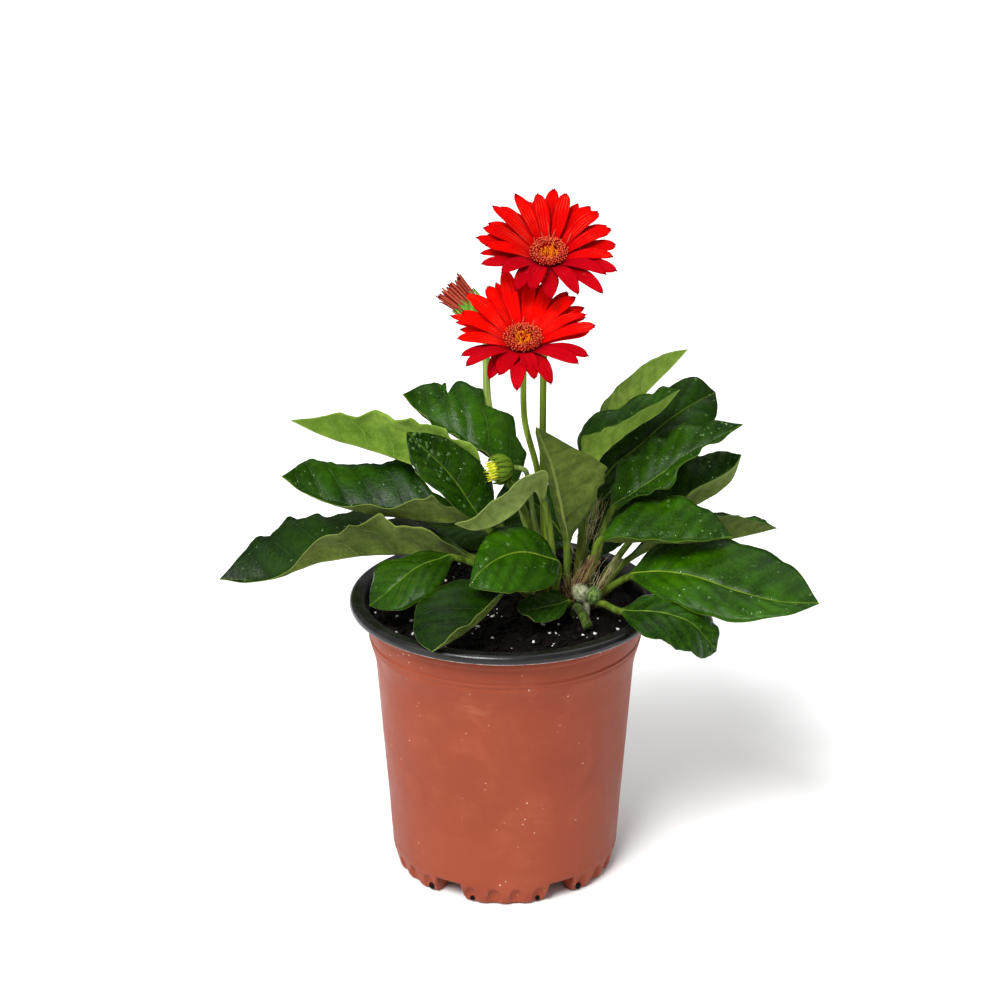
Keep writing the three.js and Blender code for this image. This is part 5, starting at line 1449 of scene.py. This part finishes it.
class PotSettings(bpy.types.PropertyGroup):
    skin_colour: bpy.props.FloatVectorProperty(
        name="Skin colour", description="Terracotta of the pot's outer layer", subtype="COLOR", size=3,
        default=srgb(143, 67, 45)[:3])
    skin_shade: bpy.props.FloatVectorProperty(
        name="Skin shade", description="Deeper terracotta that it is mottled with", subtype="COLOR", size=3,
        default=srgb(131, 59, 39)[:3])
    segments: bpy.props.IntProperty(name="Segments", description="Steps round the pot", default=480, min=120)


class GERBERA_OT_pot(bpy.types.Operator):
    """Makes the pot's terracotta skin with its fluted feet, and its black lining with the rolled lip"""
    bl_idname = "gerbera.pot"
    bl_label = "Pot"

    def execute(self, context):
        self.skin(context.scene.gerbera_pot.segments)
        self.drain_hole_shade()
        self.lining()
        return {"FINISHED"}

    def skin(self, sides):
        feet = [(FOOT_SOLE_RADIUS + 3.7 * (z / 12.5) ** 0.6 - 1.5 * max(1 - z / 1.6, 0) ** 2, z)
                for z in FOOT_LEVELS]
        wall = [(skin_radius(z), z) for z in WALL_LEVELS]
        inside = [(wall_radius(z) - SKIN_THICKNESS, z) for z in (163, 150, 143, 133, 100, 60, 15)]
        sole = [(FOOT_INNER_RADIUS + d, z)
                for d, z in ((-2, FLOOR_Z - 0.2), (0, 11), (0.3, 4), (0.6, 0.5), (1.6, 0.0))]
        profile = [(0, FLOOR_Z), (50, FLOOR_Z), *sole, *feet, *wall, (80.5, 163.4), (79.9, 163.5), *inside,
                   (0, FLOOR_Z + 1)]
        skin = Body()
        points, faces, uv = spun(profile, sides, shape_foot)
        skin.add(points, faces, 0, Stem=uv)
        skin.dress("pot_skin", [terracotta_finish()], "terracotta")

    # painted shade: black discs on the feet stand for the dark inside of the drain holes
    def drain_hole_shade(self):
        shade_discs = Body()
        for n in range(FOOT_COUNT * 2):
            angle = FRONT + math.radians(60 * (n // 2)) + (0.77 if n % 2 else -0.77) * FOOT_SPAN / 2
            out, side = spokes(angle)
            turn = np.column_stack([(0, 0, 1.0), -side, out])
            wide = 1.5 if n < 2 else 2.1
            profile = [(0, -0.4), (wide, -0.4), (wide, 0.12), (wide * 0.9, 0.2), (wide * 0.6, 0.1), (0, 0)]
            disc, faces, uv = spun(profile, 18)
            centre = out * (FOOT_SOLE_RADIUS - 0.1) + (0, 0, 2.6)
            shade_discs.add(placed(disc, (turn, centre)), faces, 0, Stem=uv)
        # painted shade inside the drain holes
        black = plain_finish("drain_hole_shade", srgb(3, 3, 3), srgb(16, 12, 11), 500, 0.8, specular_ior_level=0.1)
        shade_discs.piece("drain_hole_shade", [black], slot="black_plastic")

    def lining(self):
        outer = [(wall_radius(z) - LINING_GAP, z) for z in (15.2, 60, 100, 133, 143, 163.4)]
        inner = [(wall_radius(z) - LINING_GAP - LINING_THICKNESS + 0.12 * math.sin(z * 2.1), z)
                 for z in np.linspace(163.4, 143, 14)]
        inner += [(wall_radius(z) - LINING_GAP - LINING_THICKNESS, z) for z in (133, 100, 60, 16.2)]
        points, faces, uv = spun([(0, 14.9), *outer, (80.6, 164.6), *LIP, *inner, (0, 15.8)], 200)
        middles = [points[list(f)].mean(0) for f in faces]
        # painted highlight: the faces round the lip's lower outer edge take a pale grey finish
        lip_highlight_faces = [int(z < 164.7 and math.hypot(x, y) > 88.9) for x, y, z in middles]
        lining = Body()
        lining.add(points, faces, lip_highlight_faces, Stem=uv)
        lip_highlight = plain_finish("lip_edge_highlight", srgb(120, 104, 100), srgb(206, 196, 192), 300, 0.5)
        lining.dress("pot_lining", [lining_finish(), lip_highlight], "black_plastic")


# ------------------------------------------------------------------ potting mix

MIX_GAP = 2.55
MIX_SIDES = 150


def soil_height(x, y):
    """Height of the mix's surface, heaped a little and uneven."""
    far = np.hypot(x - CROWN[0], y - CROWN[1])
    wave = np.sin(x * 0.21 + 1.3) * np.cos(y * 0.17 - 0.4) + 0.6 * np.sin(x * 0.43 - y * 0.31)
    return SOIL_Z + 0.55 * wave * smooth((far - 12) / 25)


def chips(places, sizes, seed, longness):
    """(points, faces) of small angular chips that lie on the mix."""
    rng = np.random.default_rng(seed)
    cube = np.array([(x, y, z) for x in (-1, 1) for y in (-1, 1) for z in (-1, 1)], float)
    cube_faces = [(0, 1, 3, 2), (4, 6, 7, 5), (0, 4, 5, 1), (2, 3, 7, 6), (0, 2, 6, 4), (1, 5, 7, 3)]
    points, faces = [], []
    for n, (place, size) in enumerate(zip(places, sizes)):
        worn = cube * rng.uniform(0.55, 1.0, (8, 3))
        shape = worn * size * (rng.uniform(1, longness), 1, rng.uniform(0.4, 0.9))
        turn = Matrix.Rotation(rng.uniform(0, 6.28), 3, "Z")
        for axis in "XY":
            turn = turn @ Matrix.Rotation(rng.normal(0, 0.35), 3, axis)
        points.append(shape @ np.array(turn).T + place)
        faces += [tuple(i + 8 * n for i in f) for f in cube_faces]
    return np.vstack(points), faces


def on_soil(count, seed, lift):
    """Places all over the mix's surface."""
    rng = np.random.default_rng(seed)
    radius, angle = 76.0 * np.sqrt(rng.random(count)), rng.uniform(0, 6.28, count)
    x, y = radius * np.cos(angle), radius * np.sin(angle)
    return np.stack([x, y, soil_height(x, y) + lift], -1)


class MixSettings(bpy.types.PropertyGroup):
    chips: bpy.props.IntProperty(
        name="Bark chips", description="Chips that lie on the surface", default=1500, min=0)
    perlite: bpy.props.IntProperty(
        name="Perlite", description="White perlite grains on the surface", default=120, min=0)


class GERBERA_OT_potting_mix(bpy.types.Operator):
    """Makes the potting mix with its bark chips and perlite"""
    bl_idname = "gerbera.potting_mix"
    bl_label = "Potting mix"

    def execute(self, context):
        settings = context.scene.gerbera_mix
        rng = np.random.default_rng(31)
        wall = [(wall_radius(z) - MIX_GAP, z) for z in (60, 133, 143)]
        wall = [(wall_radius(20) - MIX_GAP - 0.4, 16.2), *wall, (wall_radius(157) - MIX_GAP, 156.6)]
        surface = [(r, 0.0) for r in np.linspace(76.4, 1.2, 52)]

        def shape(r, z, angle, k):
            if k < len(wall):
                return r, z
            height = soil_height(r * np.cos(angle), r * np.sin(angle))
            return r, height + rng.normal(0, 0.42, len(r)) * (1 if k > len(wall) else 0.4)

        mix = Body()
        points, faces, _ = spun([(0, 16.2), *wall, *surface, (0, SOIL_Z)], MIX_SIDES, shape)
        mix.add(points, faces)
        mix.dress("potting_mix", [mix_finish()], "potting_mix")
        bark = Body()
        crumb = 0.45 + 1.5 * rng.random(settings.chips) ** 2.4
        bark.add(*chips(on_soil(settings.chips, 32, 0.3), crumb, 33, 2.6))
        # painted shade: the chips are near-black for the shade under the leaves
        brown = plain_finish("bark_chips", srgb(4, 2, 1), srgb(22, 14, 11), 300, 0.7, specular_ior_level=0.1)
        bark.piece("bark_chips", [brown], slot="potting_mix", flat=True)
        white = Body()
        grains = 0.35 + 0.95 * rng.random(settings.perlite) ** 1.8
        white.add(*chips(on_soil(settings.perlite, 34, 0.6), grains, 35, 1.3))
        chalk = plain_finish("perlite_grains", srgb(206, 200, 192), srgb(248, 246, 240), 600, 0.8)
        white.piece("perlite_grains", [chalk], slot="potting_mix")
        return {"FINISHED"}


# ------------------------------------------------------------------ stage

FLOOR_REACH = 30
FLOOR_DROP = 0.0005
BRIGHT_SKY = (-0.35, -0.5, 0.79)
CAMERA_PLACE = (-0.0029, -1.254, 0.703)


class StageSettings(bpy.types.PropertyGroup):
    pitch: bpy.props.FloatProperty(
        name="Camera pitch", description="How far the camera looks down", subtype="ANGLE",
        default=math.radians(20.8))
    lens: bpy.props.FloatProperty(name="Lens", description="Focal length in millimetres", default=84.64)
    key_strength: bpy.props.FloatProperty(
        name="Key light", description="Strength of the soft key light", default=3.5)
    daylight: bpy.props.FloatProperty(name="Daylight", description="Strength of the even light", default=0.6)


def sun(name, heading, height, angle, strength):
    """A soft distant light; heading is degrees from the front towards the right."""
    light = bpy.data.lights.new(name, "SUN")
    light.angle = math.radians(angle)
    light.energy = strength
    lamp = bpy.data.objects.new(name, light)
    a, h = math.radians(heading), math.radians(height)
    way = Vector((math.sin(a) * math.cos(h), -math.cos(a) * math.cos(h), math.sin(h)))
    lamp.location = way
    lamp.rotation_euler = way.to_track_quat("Z", "Y").to_euler()
    bpy.context.scene.collection.objects.link(lamp)


class GERBERA_OT_stage(bpy.types.Operator):
    """Makes the pale floor, the studio light and the camera"""
    bl_idname = "gerbera.stage"
    bl_label = "Stage"

    def execute(self, context):
        settings = context.scene.gerbera_stage
        self.floor(context)
        self.sky(context, settings.daylight)
        sun("key", -26, 50, 24, settings.key_strength)
        sun("fill", -60, 24, 40, settings.key_strength * 0.15)
        sun("back", 165, 68, 50, settings.key_strength * 0.2)
        self.camera(context, settings)
        context.scene.view_settings.view_transform = "Standard"
        return {"FINISHED"}

    def floor(self, context):
        mesh = bpy.data.meshes.new("pale_floor")
        corners = [(x * FLOOR_REACH, y * FLOOR_REACH, -FLOOR_DROP)
                   for x, y in ((-1, -1), (1, -1), (1, 1), (-1, 1))]
        mesh.from_pydata(corners, [], [(0, 1, 2, 3)])
        floor = bpy.data.objects.new("pale_floor", mesh)
        context.scene.collection.objects.link(floor)
        f = Finish("pale_floor", roughness=0.9, specular_ior_level=0.1)
        f.colour(f.mix(f.noise(3, 2), (0.9, 0.9, 0.9, 1), (0.94, 0.94, 0.94, 1)))
        mesh.materials.append(f.material)

    def sky(self, context, daylight):
        """White light from all round, strongest from above the left shoulder."""
        world = bpy.data.worlds.new("studio")
        world.use_nodes = True
        nodes, links = world.node_tree.nodes, world.node_tree.links
        sky = nodes.new("ShaderNodeTexCoord")
        toward = nodes.new("ShaderNodeVectorMath")
        toward.operation = "DOT_PRODUCT"
        toward.inputs[1].default_value = BRIGHT_SKY
        level = nodes.new("ShaderNodeMapRange")
        level.interpolation_type = "SMOOTHSTEP"
        for k, value in enumerate((-0.5, 0.7, daylight * 0.2, daylight)):
            level.inputs[k + 1].default_value = value
        links.new(sky.outputs["Generated"], toward.inputs[0])
        links.new(toward.outputs["Value"], level.inputs[0])
        nodes["Background"].inputs[0].default_value = (1, 1, 1, 1)
        links.new(level.outputs[0], nodes["Background"].inputs[1])
        context.scene.world = world

    def camera(self, context, settings):
        cam = bpy.data.cameras.new("camera")
        cam.lens = settings.lens
        cam.sensor_width = 36
        cam.clip_start = 0.05
        camera = bpy.data.objects.new("camera", cam)
        camera.location = CAMERA_PLACE
        camera.rotation_euler = (math.radians(90) - settings.pitch, 0, 0)
        context.scene.collection.objects.link(camera)
        context.scene.camera = camera


# ------------------------------------------------------------------ panel and registration

OPERATORS = (GERBERA_OT_pot, GERBERA_OT_potting_mix, GERBERA_OT_leaves, GERBERA_OT_blooms,
             GERBERA_OT_half_open_bud, GERBERA_OT_young_bud, GERBERA_OT_crown, GERBERA_OT_stage)
SETTINGS = {"gerbera_pot": PotSettings, "gerbera_mix": MixSettings, "gerbera_leaves": LeafSettings,
            "gerbera_blooms": BloomSettings, "gerbera_stage": StageSettings}


class GERBERA_PT_panel(bpy.types.Panel):
    """Lists the gerbera's sizes, colours and pieces"""
    bl_idname = "GERBERA_PT_panel"
    bl_label = "Potted Gerbera"
    bl_space_type = "VIEW_3D"
    bl_region_type = "UI"
    bl_category = "Gerbera"

    def draw(self, context):
        for name, group in SETTINGS.items():
            box = self.layout.box()
            for field in group.__annotations__:
                box.prop(getattr(context.scene, name), field)
        for op in OPERATORS:
            self.layout.operator(op.bl_idname)


def register():
    for cls in (*SETTINGS.values(), *OPERATORS, GERBERA_PT_panel):
        bpy.utils.register_class(cls)
    for name, group in SETTINGS.items():
        setattr(bpy.types.Scene, name, bpy.props.PointerProperty(type=group))


def unregister():
    for name in SETTINGS:
        delattr(bpy.types.Scene, name)
    for cls in reversed((*SETTINGS.values(), *OPERATORS, GERBERA_PT_panel)):
        bpy.utils.unregister_class(cls)


def main():
    register()
    for op in OPERATORS:
        group, name = op.bl_idname.split(".")
        getattr(getattr(bpy.ops, group), name)()


if __name__ == "__main__":
    main()
